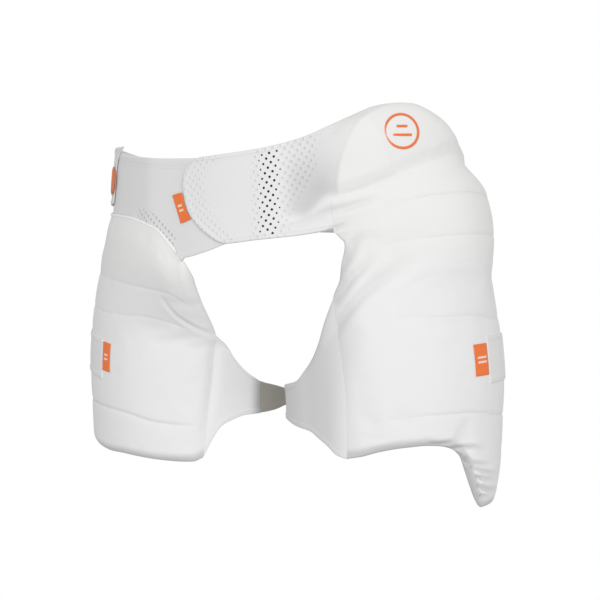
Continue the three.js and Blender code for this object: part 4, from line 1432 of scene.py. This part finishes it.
def make_strap(name, pad, rows):
    end = rows["angle"][0]
    patch = Patch(pad.surface, pad.side, between(end, rows["angle"][-1]),
                  curves(rows, "angle", "hem", "top"), leg_run)
    lift = curve(rows, "angle", "lift")

    def base(angle, height):
        """Level with the tab on the pad at its end, and then on the leg."""
        round_pad = np.minimum(angle + 360, pad.sizes["outer"] - STRAP["inset"])
        on_pad = pad.relief(round_pad, height)[0] - TAB_SUNK
        return lerp(on_pad, lift(angle), rise(angle - end, STRAP["level"], STRAP["ease"]))

    pale = lambda angle, height, margins: fall(margins["inner"], STRAP["pale"], STRAP["pale_ease"])
    shell = cloth_piece(name, patch, CELL["strap"], CLOTH, base, ("low", "top"), marks={"pale": pale})
    return lay_sheet(shell, name, STRAP_ELASTIC)


def on_leg(pad, piece):
    """The patch of a tab or label on a pad."""
    edges, levels = between(piece["from"], piece["to"]), level(piece["hem"], piece["top"])
    return Patch(pad.surface, pad.side, edges, levels, leg_run)


def label_bar(angle, height, margins):
    """Two pale bars across the middle of a label."""
    up = (margins["low"] - margins["top"]) / 2
    sides = np.minimum(margins["inner"], margins["outer"])
    off_bar = np.abs(np.abs(up) - LABEL_BARS["off_middle"])
    bars = fall(off_bar, LABEL_BARS["half_tall"], LABEL_BARS["soft"])
    return bars * rise(sides, LABEL_BARS["inset"], LABEL_BARS["inset_soft"])


def make_tab(name, pad, piece):
    """The end of a strap, pressed a little into the pad."""
    base = lambda angle, height: pad.relief(angle, height)[0] + CLOSE_LAP - TAB_SUNK
    shell = cloth_piece(name, on_leg(pad, piece), CELL["tab"], TAB, base, ALL_ENDS, ("low", "top"))
    return lay_sheet(shell, name, TAB_CLOTH)


def make_label(name, pad, piece):
    base = lambda angle, height: pad.relief(angle, height)[0] + CLOSE_LAP
    shell = cloth_piece(name, on_leg(pad, piece), CELL["tab"], LABEL, base, ALL_ENDS,
                        marks={"bar": label_bar})
    return lay_sheet(shell, name, LABEL_RIBBON)


# Belt and closure

def seam_on_waist(pad, start, end):
    """A pad's top seam, read as a height on the waist."""
    angle = np.linspace(start, end, 61)
    point = pad.surface(angle, pad.levels(angle)[-1])
    found = waist_angle(point)
    order = np.argsort(found)
    return curve({"angle": found[order], "z": point[order, 2]}, "angle", "z")


right_seam = seam_on_waist(right_pad, *TOP_SEAM["right"])
left_seam = seam_on_waist(left_pad, *TOP_SEAM["left"])
belt_lines = curves(BELT_LEVELS, "angle", "hem", "top")


def belt_levels(angle):
    hem, top = belt_lines(angle)
    on_seam = (angle > BELT["seam_end"]) & (angle < BELT["corner"])
    return np.array([np.where(on_seam, right_seam(angle) - 1, hem), top])


def make_belt():
    patch = Patch(waist, LEFT, between(BELT["from"], BELT["to"]), belt_levels, waist_run)

    def mesh_gusset(angle, height, margins):
        near_arch = fall(margins["low"], GUSSET["wide"], GUSSET["ease"])
        front = fall(angle, GUSSET["to"], GUSSET["to_ease"])
        return near_arch * front * rise(angle, GUSSET["from"], GUSSET["from_ease"])

    def waves(angle, height):
        away = (angle[..., None] - BELT_WAVES["angle"]) / BELT_WAVES["width"]
        return (BELT_WAVES["rise"] * np.exp(-(away**2))).sum(-1)

    shell = cloth_piece("waist_belt", patch, CELL["belt"], CLOTH, waves, ("low", "top"), ("top",),
                        {"mesh": mesh_gusset})
    return lay_sheet(shell, "waist_belt", BELT_MESH)


def closure_lift(angle):
    """The tab lies on the belt at its free end, and comes down beside it."""
    return lerp(CLOTH + LAP, 0, ramp(angle, CLOSURE["lap_end"], CLOSURE["flush_from"]))


def closure_mesh(angle, height, margins):
    """Where the tab shows dimpled cells: round its free end, and beside the band of holes."""
    cells = CLOSURE_MESH
    end = cells["end"] * fall(margins["inner"], cells["end_wide"], cells["end_ease"])
    end = end * fall(angle, cells["end_to"], cells["ease"])
    upper = rise(height, cells["low"], cells["over"])
    beside = rise(angle, cells["from"], cells["from_ease"])
    beside = beside * fall(angle, cells["to"] + cells["more_above"] * upper, cells["ease"])
    return np.clip(end + beside * lerp(cells["low_share"], 1, upper), 0, 1)


closure_end = curve(CLOSURE_END, "height", "inner")


def closure_edges(height):
    return closure_end(height), np.full_like(height, CLOSURE["fixed_end"] + CLOSURE["under"])


closure_patch = Patch(waist, LEFT, closure_edges, curves(CLOSURE_LEVELS, "angle", "hem", "top"), waist_run,
                      ("inner", "low", "top"))


def hole_places():
    """Angles, heights and radii of the holes: every cell of a band of the mesh, smaller at its sides."""
    cells = np.arange(-HOLES["rows"], HOLES["rows"]) + 0.5
    i, j = np.meshgrid(cells, cells)
    across = i * MESH_STEPS["along"][0] + j * MESH_STEPS["beside"][0]
    height = i * MESH_STEPS["along"][1] + j * MESH_STEPS["beside"][1]
    turns = np.linspace(*HOLES["between"], 400)
    angle = np.interp(across, waist_run(turns), turns)
    away = np.abs(across - waist_run(HOLES["centre"]))
    margins = closure_patch.margins(angle, height)
    kept = (away < HOLES["reach"]) & (np.minimum(margins["low"], margins["top"]) > HOLES["edge"])
    radius = lerp(HOLES["radius"], HOLES["small"], ramp(away, HOLES["full"], HOLES["reach"]))
    return angle[kept], height[kept], radius[kept]


class Tree(Nodes):
    """A Geometry Nodes tree with named inputs."""

    def __init__(self, name, **inputs):
        super().__init__(bpy.data.node_groups.new(name, "GeometryNodeTree"))
        face = self.tree.interface
        face.new_socket("Geometry", in_out="INPUT", socket_type="NodeSocketGeometry")
        self.identifiers = {}
        for label, kind in inputs.items():
            made = face.new_socket(label, in_out="INPUT", socket_type="NodeSocket" + kind)
            self.identifiers[label] = made.identifier
        face.new_socket("Geometry", in_out="OUTPUT", socket_type="NodeSocketGeometry")
        self.start = self.tree.nodes.new("NodeGroupInput")
        self.end = self.tree.nodes.new("NodeGroupOutput")

    def given(self, label):
        return Wire(self, self.start.outputs[label])

    def carried(self, name, kind="FLOAT"):
        """A mark that the points carry."""
        return self.node("GeometryNodeInputNamedAttribute", {"data_type": kind}, {"Name": name})

    def painted(self, geometry, material):
        return self.node("GeometryNodeSetMaterial", inputs={
            "Geometry": geometry, "Material": self.given(material),
        })

    def finish(self, geometry, material, where=True):
        whole = self.node("GeometryNodeRealizeInstances", inputs={"Geometry": geometry})
        soft = self.node("GeometryNodeSetShadeSmooth", inputs={"Geometry": whole})
        dressed = self.node("GeometryNodeSetMaterial", inputs={
            "Geometry": soft, "Selection": where, "Material": material,
        })
        self.feed(self.end.inputs["Geometry"], dressed)

    def apply(self, thing, **values):
        """Runs the tree on an object and leaves a plain mesh."""
        modifier = thing.modifiers.new("made", "NODES")
        modifier.node_group = self.tree
        for label, value in values.items():
            modifier[self.identifiers[label]] = value
        graph = bpy.context.evaluated_depsgraph_get()
        mesh = bpy.data.meshes.new_from_object(thing.evaluated_get(graph), preserve_all_data_layers=True,
                                               depsgraph=graph)
        thing.modifiers.remove(modifier)
        mesh.name = thing.name
        thing.data = mesh
        return thing


def punch_tree():
    """Sinks a round hole into a cloth at every point of another object, and lines it with painted shadow.
    """
    tree = Tree("punch_holes", Places="Object", Depth="Float", Cloth="Material", Lining="Material")
    places = tree.node("GeometryNodeObjectInfo", inputs={"Object": tree.given("Places")}, output="Geometry")
    drill = tree.node("GeometryNodeMeshCylinder", inputs={
        "Vertices": 10, "Radius": 1.0, "Depth": tree.given("Depth"),
    })
    radius = tree.carried("radius")
    size = tree.node("ShaderNodeCombineXYZ", inputs={0: radius, 1: radius, 2: 1.0})
    out = tree.carried("out", "FLOAT_VECTOR")
    turn = tree.node("FunctionNodeAlignRotationToVector", {"axis": "Z"}, {"Vector": out})
    drills = tree.node("GeometryNodeInstanceOnPoints", inputs={
        "Points": places, "Instance": drill, "Rotation": turn, "Scale": size,
    })
    drills = tree.node("GeometryNodeRealizeInstances", inputs={"Geometry": drills})
    drills = tree.node("GeometryNodeStoreNamedAttribute", {"data_type": "FLOAT", "domain": "FACE"}, {
        "Geometry": drills, "Name": "hole", "Value": 1.0,
    })
    drills = tree.painted(drills, "Lining")
    cloth = tree.painted(tree.given("Geometry"), "Cloth")
    cut = tree.node("GeometryNodeMeshBoolean", {"operation": "DIFFERENCE"}, {0: cloth, 1: drills})
    outside = tree.node("FunctionNodeCompare", {"data_type": "FLOAT", "operation": "LESS_THAN"},
                        {0: tree.carried("hole"), 1: 0.5})
    tree.finish(cut, tree.given("Cloth"), outside)
    return tree


def point_cloud(name, points, normals, edges=()):
    """Loose points or lines in metres that carry the way out of the cloth."""
    mesh = bpy.data.meshes.new(name)
    mesh.from_pydata(points.tolist(), list(edges), [])
    set_marks(mesh, "out", "FLOAT_VECTOR", "POINT", normals)
    return in_scene(name, mesh)


def closure_thick(angle, height):
    """Plain cloth that thickens to the hip guard's cover."""
    return lerp(CLOTH, HIP["cloth"], rise(angle, CLOSURE["flush_from"], CLOSURE["flush_over"]))


def closure_base(angle, height):
    """The tab follows the hip guard's foam, and sinks under its cover past the fixed end."""
    past = angle - CLOSURE["fixed_end"]
    sunk = CLOSURE["low"] * smooth(past / CLOSURE["low_over"] + 1)
    sunk = sunk + CLOSURE["sunk"] * rise(past, CLOSURE["sunk_from"], CLOSURE["sunk_over"])
    return closure_lift(angle) + hip_rise(angle, height) - waist_creases(angle, height) - sunk


def make_closure():
    ends = ("inner", "low", "top")
    # The pressed mark carries the painted shade of the hollow and its folds.
    marks = {"mesh": closure_mesh, "pressed": lambda angle, height, margins: waist_painted_shade(angle, height)}
    shell = cloth_piece("closure_tab", closure_patch, CELL["closure"], closure_thick, closure_base, ends,
                        ends, marks)
    angle, height, radius = hole_places()
    normals = outward(waist, LEFT, angle, height)
    centres = lifted(waist, LEFT, angle, height, shell.face(angle, height)) * MM
    places = point_cloud("hole_places", centres, normals)
    set_marks(places.data, "radius", "FLOAT", "POINT", radius * MM)
    punch_tree().apply(shell.object, Places=places, Depth=2 * HOLES["deep"] * MM, Cloth=TAB_MESH,
                       Lining=HOLE_SHADOW)
    bpy.data.objects.remove(places)
    shell.object.data.set_sharp_from_angle(angle=math.radians(50))
    return lay_sheet(shell, "closure_tab", None)


def make_belt_label():
    patch = Patch(waist, LEFT, curves(BELT_LABEL_EDGES, "height", "inner", "outer"),
                  curves(BELT_LABEL_LEVELS, "angle", "hem", "top"), waist_run)
    base = lambda angle, height: np.full_like(angle, CLOTH + LAP)
    shell = cloth_piece("belt_pull_tab", patch, CELL["tab"], LABEL, base, ALL_ENDS,
                        marks={"bar": label_bar})
    return lay_sheet(shell, "belt_pull_tab", LABEL_RIBBON)


side_lift = curve(SIDE_TAB, "angle", "lift")


def side_base(angle, height):
    return CLOTH + CLOSE_LAP + side_lift(angle)


def make_side_tab():
    front = curve(SIDE_FRONT, "height", "angle")
    edges = lambda height: (np.full_like(height, SIDE_TAB["angle"][0]), front(height))
    patch = Patch(waist, LEFT, edges, curves(SIDE_TAB, "angle", "hem", "top"), waist_run)

    def thick(angle, height):
        past_front = patch.margins(angle, height)["outer"]
        return lerp(SIDE_THIN["edge"], TAB, smooth(past_front / SIDE_THIN["over"]))

    shell = cloth_piece("side_tab", patch, CELL["side_tab"], thick, side_base, ALL_ENDS,
                        ("inner", "low", "top"))
    return lay_sheet(shell, "side_tab", TAB_CLOTH)


# Hip guard

hip_top = curve(HIP_TOP, "angle", "top")
hip_foam_edge = curve(HIP_FOAM_EDGE, "height", "angle")
hip_panel_rear = curve(HIP_PANEL_REAR, "height", "angle")


def hip_levels(angle):
    return np.array([left_seam(angle), hip_top(angle)])


hip_patch = Patch(waist, LEFT, between(HIP["from"], HIP["to"]), hip_levels, waist_run, ("outer", "top"))


def hip_rise(angle, height):
    """How far the foam lifts the cover, easing in from the closure side."""
    low, top = hip_levels(angle)
    foam = HIP_FOAM
    lift = smooth((angle - hip_foam_edge(height) + foam["lead"]) / foam["ease"])
    lift = lift * rise(height, foam["foot"], foam["foot_over"])
    lift = lift * lerp(foam["keep_low"], 1, rise(height, low, foam["rim_low"]))
    lift = lift * quarter_round((top - height) / foam["rim_top"])
    return foam["dome"] * lift * quarter_round((foam["rear"] - angle) * WAIST_ARC / foam["rim_rear"])


def hip_panel(angle, height):
    """1 on the smooth panel at the front of the hip guard."""
    front = smooth((angle - hip_foam_edge(height)) / HIP_PANEL["step"] + 0.5)
    rear = smooth((hip_panel_rear(height) - angle) / (2 * HIP_PANEL["step"]) + 0.5)
    return front * rear * smooth((height - hip_levels(angle)[0] - HIP_PANEL["above_seam"]) / 2 + 0.5)


def hip_relief(angle, height):
    """Thickness of the hip guard, and where its smooth front panel lies."""
    panel = hip_panel(angle, height)
    padded = HIP["cloth"] + hip_rise(angle, height) + HIP_PANEL["raise"] * panel
    return padded - waist_creases(angle, height), panel


def hip_painted_shade(angle, height):
    """Painted shade: slightly darker cloth behind the hip guard's front panel."""
    above = rise(height - hip_levels(angle)[0], HIP_PAINTED_SHADE["above_seam"], HIP_PAINTED_SHADE["over"])
    behind = (1 - hip_panel(angle, height)) * rise(angle, hip_foam_edge(height), HIP_PAINTED_SHADE["ease"])
    return HIP_PAINTED_SHADE["deep"] * above * behind


def hip_shell(name, spacing, swollen=None):
    us, vs = crowded(HIP_CELL["long"], spacing), crowded(HIP_CELL["tall"], spacing)
    angle, height = hip_patch.place(us, vs)
    thickness, panel = hip_relief(angle, height)
    margins = hip_patch.margins(angle, height)
    free = rounded(margins, EDGE["round"], ("outer", "top"))
    centre = HIP["cloth"] / 2
    outer = centre + (thickness - centre) * free
    open_side = hip_rise(angle, height) * (1 - rise(angle, HIP["from"], HIP["open_side"]))
    inner = np.minimum(centre - centre * free + open_side, outer - HIP["wall"])
    cover = hip_patch.at(angle, height, outer)
    if swollen:
        cover = cover + spread(*swollen, us, vs)
    # The pressed mark carries painted shade; the warm tone is the cloth's own.
    tones = {
        "pressed": waist_painted_shade(angle, height) + hip_painted_shade(angle, height),
        "warm": HIP_WARM["cover"] + HIP_WARM["panel"] * panel,
    }
    shell = Shell(name, LEFT, cover, hip_patch.at(angle, height, inner), hip_patch.flat(angle, height),
                  tones, ("inner", "low"))
    thin = 1 - rise(thickness, HIP_FOAM["held_below"], HIP_FOAM["held_ease"])
    shell.held = np.maximum(sewn_edges(margins), thin)
    shell.us, shell.vs = us, vs
    return shell


def make_hip():
    swollen = swell(hip_shell("hip_guard_foam", HIP_CELL["foam"]), limit=1.5)
    shell = hip_shell("hip_guard", HIP_CELL["cover"], swollen)
    dress(shell.object, "hip_guard", PAD_CLOTH)
    return shell


def make_side_badge():
    """A round patch on the second tab, its grid drawn out to a circle."""
    badge = SIDE_BADGE
    shares = np.linspace(-1, 1, badge["cells"] + 1)
    x, y = np.meshgrid(shares, shares, indexing="ij")
    across = badge["radius"] * x * np.sqrt(1 - y**2 / 2)
    height = badge["height"] + badge["radius"] * y * np.sqrt(1 - x**2 / 2)
    angle = badge["angle"] + across / WAIST_ARC
    away = badge["radius"] - np.hypot(across, height - badge["height"])
    half_thick = LABEL / 2 * np.maximum(quarter_round(away / badge["round"]), EDGE["thinnest"])
    middle = side_base(angle, height) + TAB + CLOSE_LAP + badge["stands_off"] + LABEL / 2
    outer = lifted(waist, LEFT, angle, height, middle + half_thick)
    inner = lifted(waist, LEFT, angle, height, middle - half_thick)
    shell = Shell("side_badge", LEFT, outer, inner, np.stack([across, height], -1), {"bar": 0 * angle})
    return lay_sheet(shell, "side_badge", LABEL_RIBBON)


# Stitching, piping and the ring, along paths

def stitch_tree():
    """Lays a small rounded stitch at every step of a line."""
    tree = Tree("stitch_row", Pitch="Float", Length="Float", Width="Float", Height="Float", Turn="Float",
                Thread="Material")
    line = tree.node("GeometryNodeMeshToCurve", inputs={"Mesh": tree.given("Geometry")})
    steps = tree.node("GeometryNodeResampleCurve", {"mode": "LENGTH"},
                      {"Curve": line, "Length": tree.given("Pitch")})
    out = tree.carried("out", "FLOAT_VECTOR")
    along = tree.node("GeometryNodeInputTangent")
    turn = tree.node("FunctionNodeAxesToRotation", {"primary_axis": "Z", "secondary_axis": "X"},
                     {0: out, 1: along})
    twist = tree.node("FunctionNodeAxisAngleToRotation",
                      inputs={"Axis": (0, 0, 1), "Angle": tree.given("Turn")})
    turned = tree.node("FunctionNodeRotateRotation", {"rotation_space": "LOCAL"}, {0: turn, 1: twist})
    bead = tree.node("GeometryNodeMeshUVSphere", inputs={"Segments": 6, "Rings": 4, "Radius": 0.5})
    size = tree.node("ShaderNodeCombineXYZ", inputs={
        0: tree.given("Length"), 1: tree.given("Width"), 2: tree.given("Height"),
    })
    shaped = tree.node("GeometryNodeTransform", inputs={"Geometry": bead, "Scale": size})
    stitches = tree.node("GeometryNodeInstanceOnPoints", inputs={
        "Points": steps, "Instance": shaped, "Rotation": turned,
    })
    tree.finish(stitches, tree.given("Thread"))
    return tree


STITCHES = stitch_tree()


def sew(name, paths, thread, pitch=3.2, length=2.3, width=0.5, height=0.35, turn=0.0):
    """Rows of stitches along paths of points and outward normals, as one piece."""
    points = np.concatenate([path[0] for path in paths])
    normals = np.concatenate([path[1] for path in paths])
    edges, first = [], 0
    for path, _ in paths:
        count = len(path)
        edges += [(first + k, first + k + 1) for k in range(count - 1)]
        first += count
    thing = point_cloud(name, points, normals, edges)
    STITCHES.apply(thing, Pitch=pitch * MM, Length=length * MM, Width=width * MM, Height=height * MM,
                   Turn=math.radians(turn), Thread=thread)
    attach(thing, "root")
    return thing


def seam_paths(shell, wanted, start):
    """Paths along some seams of a pad, from a share of its width to its outer side."""
    points, normals = shell.points()
    shown = slice(int(np.searchsorted(shell.us, start)), -2)
    paths = []
    for v in wanted:
        j = int(np.argmin(np.abs(shell.vs - v)))
        paths.append((points[shown, j] + normals[shown, j] * STITCH_RAISED * MM, normals[shown, j]))
    return paths


def edge_row(shell, side, inset):
    """A row of stitches beside one edge of a sheet."""
    patch = shell.patch
    share = np.linspace(0, 1, 80)
    last = len(patch.levels(np.array(0.0))) - 1
    if side in ("low", "top"):
        angle, height = patch.place(share, np.array([0.0 if side == "low" else last]))
        height = height + (inset if side == "low" else -inset)
    else:
        angle, height = patch.place(np.array([0.0 if side == "inner" else 1.0]), share * last)
        angle = angle + (inset if side == "inner" else -inset) / patch.arc
    angle, height = angle.ravel(), height.ravel()
    points = patch.at(angle, height, shell.face(angle, height) + STITCH_RAISED) * MM
    return points, outward(patch.surface, patch.side, angle, height)


def edge_rows(shells, sides, inset):
    return [edge_row(shell, side, inset) for shell in shells for side in sides]


def cross_tack(shell, angle, height, half):
    """Two crossed rows of stitches that hold a corner."""
    patch, paths = shell.patch, []
    for lean in (1, -1):
        share = np.linspace(-1, 1, 9)
        angles, heights = angle + half * share / patch.arc, height + lean * half * share
        points = patch.at(angles, heights, shell.face(angles, heights) + STITCH_RAISED) * MM
        paths.append((points, outward(patch.surface, patch.side, angles, heights)))
    return paths


def make_piping():
    """A bound cord along the arched seam, lying on the belt's lower edge."""
    count, sides, radius = PIPING["steps"], PIPING["sides"], PIPING["radius"]
    angle = np.linspace(BELT["corner"] - PIPING["inset"], BELT["seam_end"] + PIPING["inset"], count)
    height = right_seam(angle)
    normal = outward(waist, LEFT, angle, height)
    centre = waist(angle, height)
    above = np.cross(unit(np.gradient(centre, axis=0)), normal)
    above *= np.sign(above[:, 2:])
    centre = centre + above * PIPING["above_seam"] + normal * (CLOTH + PIPING["proud"] * radius)
    turns = np.linspace(0, 2 * math.pi, sides + 1)[:-1]
    ring = np.cos(turns)[None, :, None] * normal[:, None] + np.sin(turns)[None, :, None] * above[:, None]
    taper = np.maximum(quarter_round(np.arange(count) / PIPING["taper"]), PIPING["tip"])
    taper = np.minimum(taper, taper[::-1])
    points = centre[:, None] + ring * (radius * taper)[:, None, None]
    faces = [
        (i * sides + k, i * sides + (k + 1) % sides, (i + 1) * sides + (k + 1) % sides, (i + 1) * sides + k)
        for i in range(count - 1) for k in range(sides)
    ]
    faces += [tuple(range(sides))[::-1], tuple((count - 1) * sides + k for k in range(sides))]
    mesh = bpy.data.meshes.new("right_piping")
    mesh.from_pydata((points.reshape(-1, 3) * MM).tolist(), [], faces)
    run = np.concatenate(([0], np.cumsum(np.linalg.norm(np.diff(centre, axis=0), axis=1))))
    set_cloth_map(mesh, np.stack(np.broadcast_arrays(run[:, None], radius * turns), -1).reshape(-1, 2))
    mesh.polygons.foreach_set("use_smooth", np.ones(len(mesh.polygons), bool))
    mesh.update()
    return dress(in_scene("right_piping", mesh), "right_piping", PIPING_CLOTH)


def on_hip(angle, height, raised=0.0):
    """Points on the hip guard's cover."""
    return lifted(waist, LEFT, angle, height, hip_relief(angle, height)[0] + raised)


def badge_place(across, up):
    """Angle and height of a point given in millimetres across and up the badge's own plane."""
    angle, height = np.array(HIP_BADGE["angle"]), np.array(HIP_BADGE["height"])
    step = 0.5
    around = (on_hip(angle + step, height) - on_hip(angle - step, height)) / (2 * step)
    rising = (on_hip(angle, height + step) - on_hip(angle, height - step)) / (2 * step)
    flat = around / np.linalg.norm(around)
    steep = rising @ flat
    tall = np.linalg.norm(rising - steep * flat)
    return angle + (across - up * steep / tall) / np.linalg.norm(around), height + up / tall


def make_ring():
    """Satin-stitched ring on the hip guard, with two plain bars in it."""
    turn = np.linspace(0, 2 * math.pi, 97)
    radius = (HIP_BADGE["radius"] + HIP_BADGE["bore"]) / 2
    lines = [(-radius * np.cos(turn), radius * np.sin(turn))]
    for half_long, up, points in zip(BADGE_BARS["half_long"], BADGE_BARS["up"], BADGE_BARS["points"]):
        across = np.linspace(-half_long, half_long, int(points))
        lines.append((across, np.full_like(across, up)))
    paths = []
    for across, up in lines:
        angle, height = badge_place(across, up)
        paths.append((on_hip(angle, height, HIP_BADGE["raised"]) * MM, outward(waist, LEFT, angle, height)))
    long = HIP_BADGE["radius"] - HIP_BADGE["bore"] + HIP_BADGE["past_edge"]
    ring = sew("hip_ring_stitching", paths, ORANGE_THREAD, pitch=0.9, length=long, width=1.1,
               height=0.9, turn=78)
    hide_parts("hip_badge")
    return ring


# The studio

def aimed(name, data, place):
    """A camera or light that looks at the part from an azimuth and an elevation, and the way to it."""
    azimuth, elevation = math.radians(place["azimuth"]), math.radians(place["elevation"])
    back = Vector((math.sin(azimuth) * math.cos(elevation), -math.cos(azimuth) * math.cos(elevation),
                   math.sin(elevation)))
    thing = in_scene(name, data)
    thing.rotation_mode = "QUATERNION"
    thing.rotation_quaternion = (-back).to_track_quat("-Z", "Y")
    return thing, back


def make_camera():
    """Stands where the photograph was taken from."""
    data = bpy.data.cameras.new("camera")
    data.sensor_width = CAMERA["sensor"]
    data.lens = CAMERA["lens"]
    camera, back = aimed("camera", data, CAMERA)
    camera.location = Vector(CAMERA["target"]) + back * CAMERA["distance"]
    bpy.context.scene.camera = camera


def white_surround():
    """A dim soft light from all round, behind a surround that looks white."""
    world = bpy.data.worlds.new("surround")
    world.use_nodes = True
    nodes = Nodes(world.node_tree)
    seen = nodes.node("ShaderNodeLightPath", output="Is Camera Ray")
    strength = nodes.node("ShaderNodeMapRange", inputs={"Value": seen, "To Min": SKY, "To Max": 1.0})
    background = world.node_tree.nodes["Background"]
    nodes.feed(background.inputs["Color"], (1, 1, 1, 1))
    nodes.feed(background.inputs["Strength"], strength)
    return world


def make_studio():
    scene = bpy.context.scene
    scene.view_settings.view_transform = "Standard"
    scene.world = white_surround()
    mesh = bpy.data.meshes.new("floor")
    reach = FLOOR["reach"]
    corners = [(-reach, -reach), (reach, -reach), (reach, reach), (-reach, reach)]
    mesh.from_pydata([(x, y, FLOOR["height"]) for x, y in corners], [], [(0, 1, 2, 3)])
    mesh.materials.append(pale_floor("floor_paint"))
    in_scene("floor", mesh)
    sun = bpy.data.lights.new("key", "SUN")
    sun.energy = KEY["strength"]
    sun.angle = math.radians(KEY["width"])
    aimed("key", sun, KEY)


make_camera()
make_studio()
pads = make_pads()
wings = [
    make_wing("right_inner_wing", right_pad, RIGHT_WING, RIGHT_WING_END),
    make_wing("left_inner_wing", left_pad, LEFT_WING, LEFT_WING_END),
]
make_strap("right_leg_strap", right_pad, RIGHT_STRAP)
make_strap("left_leg_strap", left_pad, LEFT_STRAP)
tabs = [
    make_tab("right_strap_tab", right_pad, RIGHT_TAB),
    make_tab("left_strap_tab", left_pad, LEFT_TAB),
]
labels = [
    make_label("right_pull_tab", right_pad, RIGHT_LABEL),
    make_label("left_pull_tab", left_pad, LEFT_LABEL),
]
belt = make_belt()
closure = make_closure()
labels.append(make_belt_label())
tabs.append(make_side_tab())
make_hip()
make_side_badge()
make_piping()
make_ring()

right_seams = seam_paths(pads["right_thigh_pad"], *SEAM_STITCHES["right"])
left_seams = seam_paths(pads["left_thigh_pad"], *SEAM_STITCHES["left"])
belt_rows = [edge_row(belt, "top", inset) for inset in STITCH_INSET["belt"]]
wing_rows = edge_rows(wings, ("low", "top"), STITCH_INSET["wing"])
tab_rows = edge_rows(tabs, ALL_ENDS, STITCH_INSET["tab"])
label_rows = edge_rows(labels, ("low", "top"), STITCH_INSET["label"])
closure_rows = edge_rows([closure], ("inner", "low", "top"), STITCH_INSET["closure"])
sew("right_pad_stitching", right_seams, WHITE_THREAD)
sew("left_pad_stitching", left_seams, WHITE_THREAD)
sew("belt_stitching", belt_rows, WHITE_THREAD)
sew("closure_stitching", closure_rows, WHITE_THREAD)
sew("wing_stitching", wing_rows + cross_tack(wings[1], **WING_TACK), WHITE_THREAD)
sew("tab_stitching", tab_rows, WHITE_THREAD)
sew("label_stitching", label_rows, ORANGE_THREAD, pitch=2.4, length=1.7)
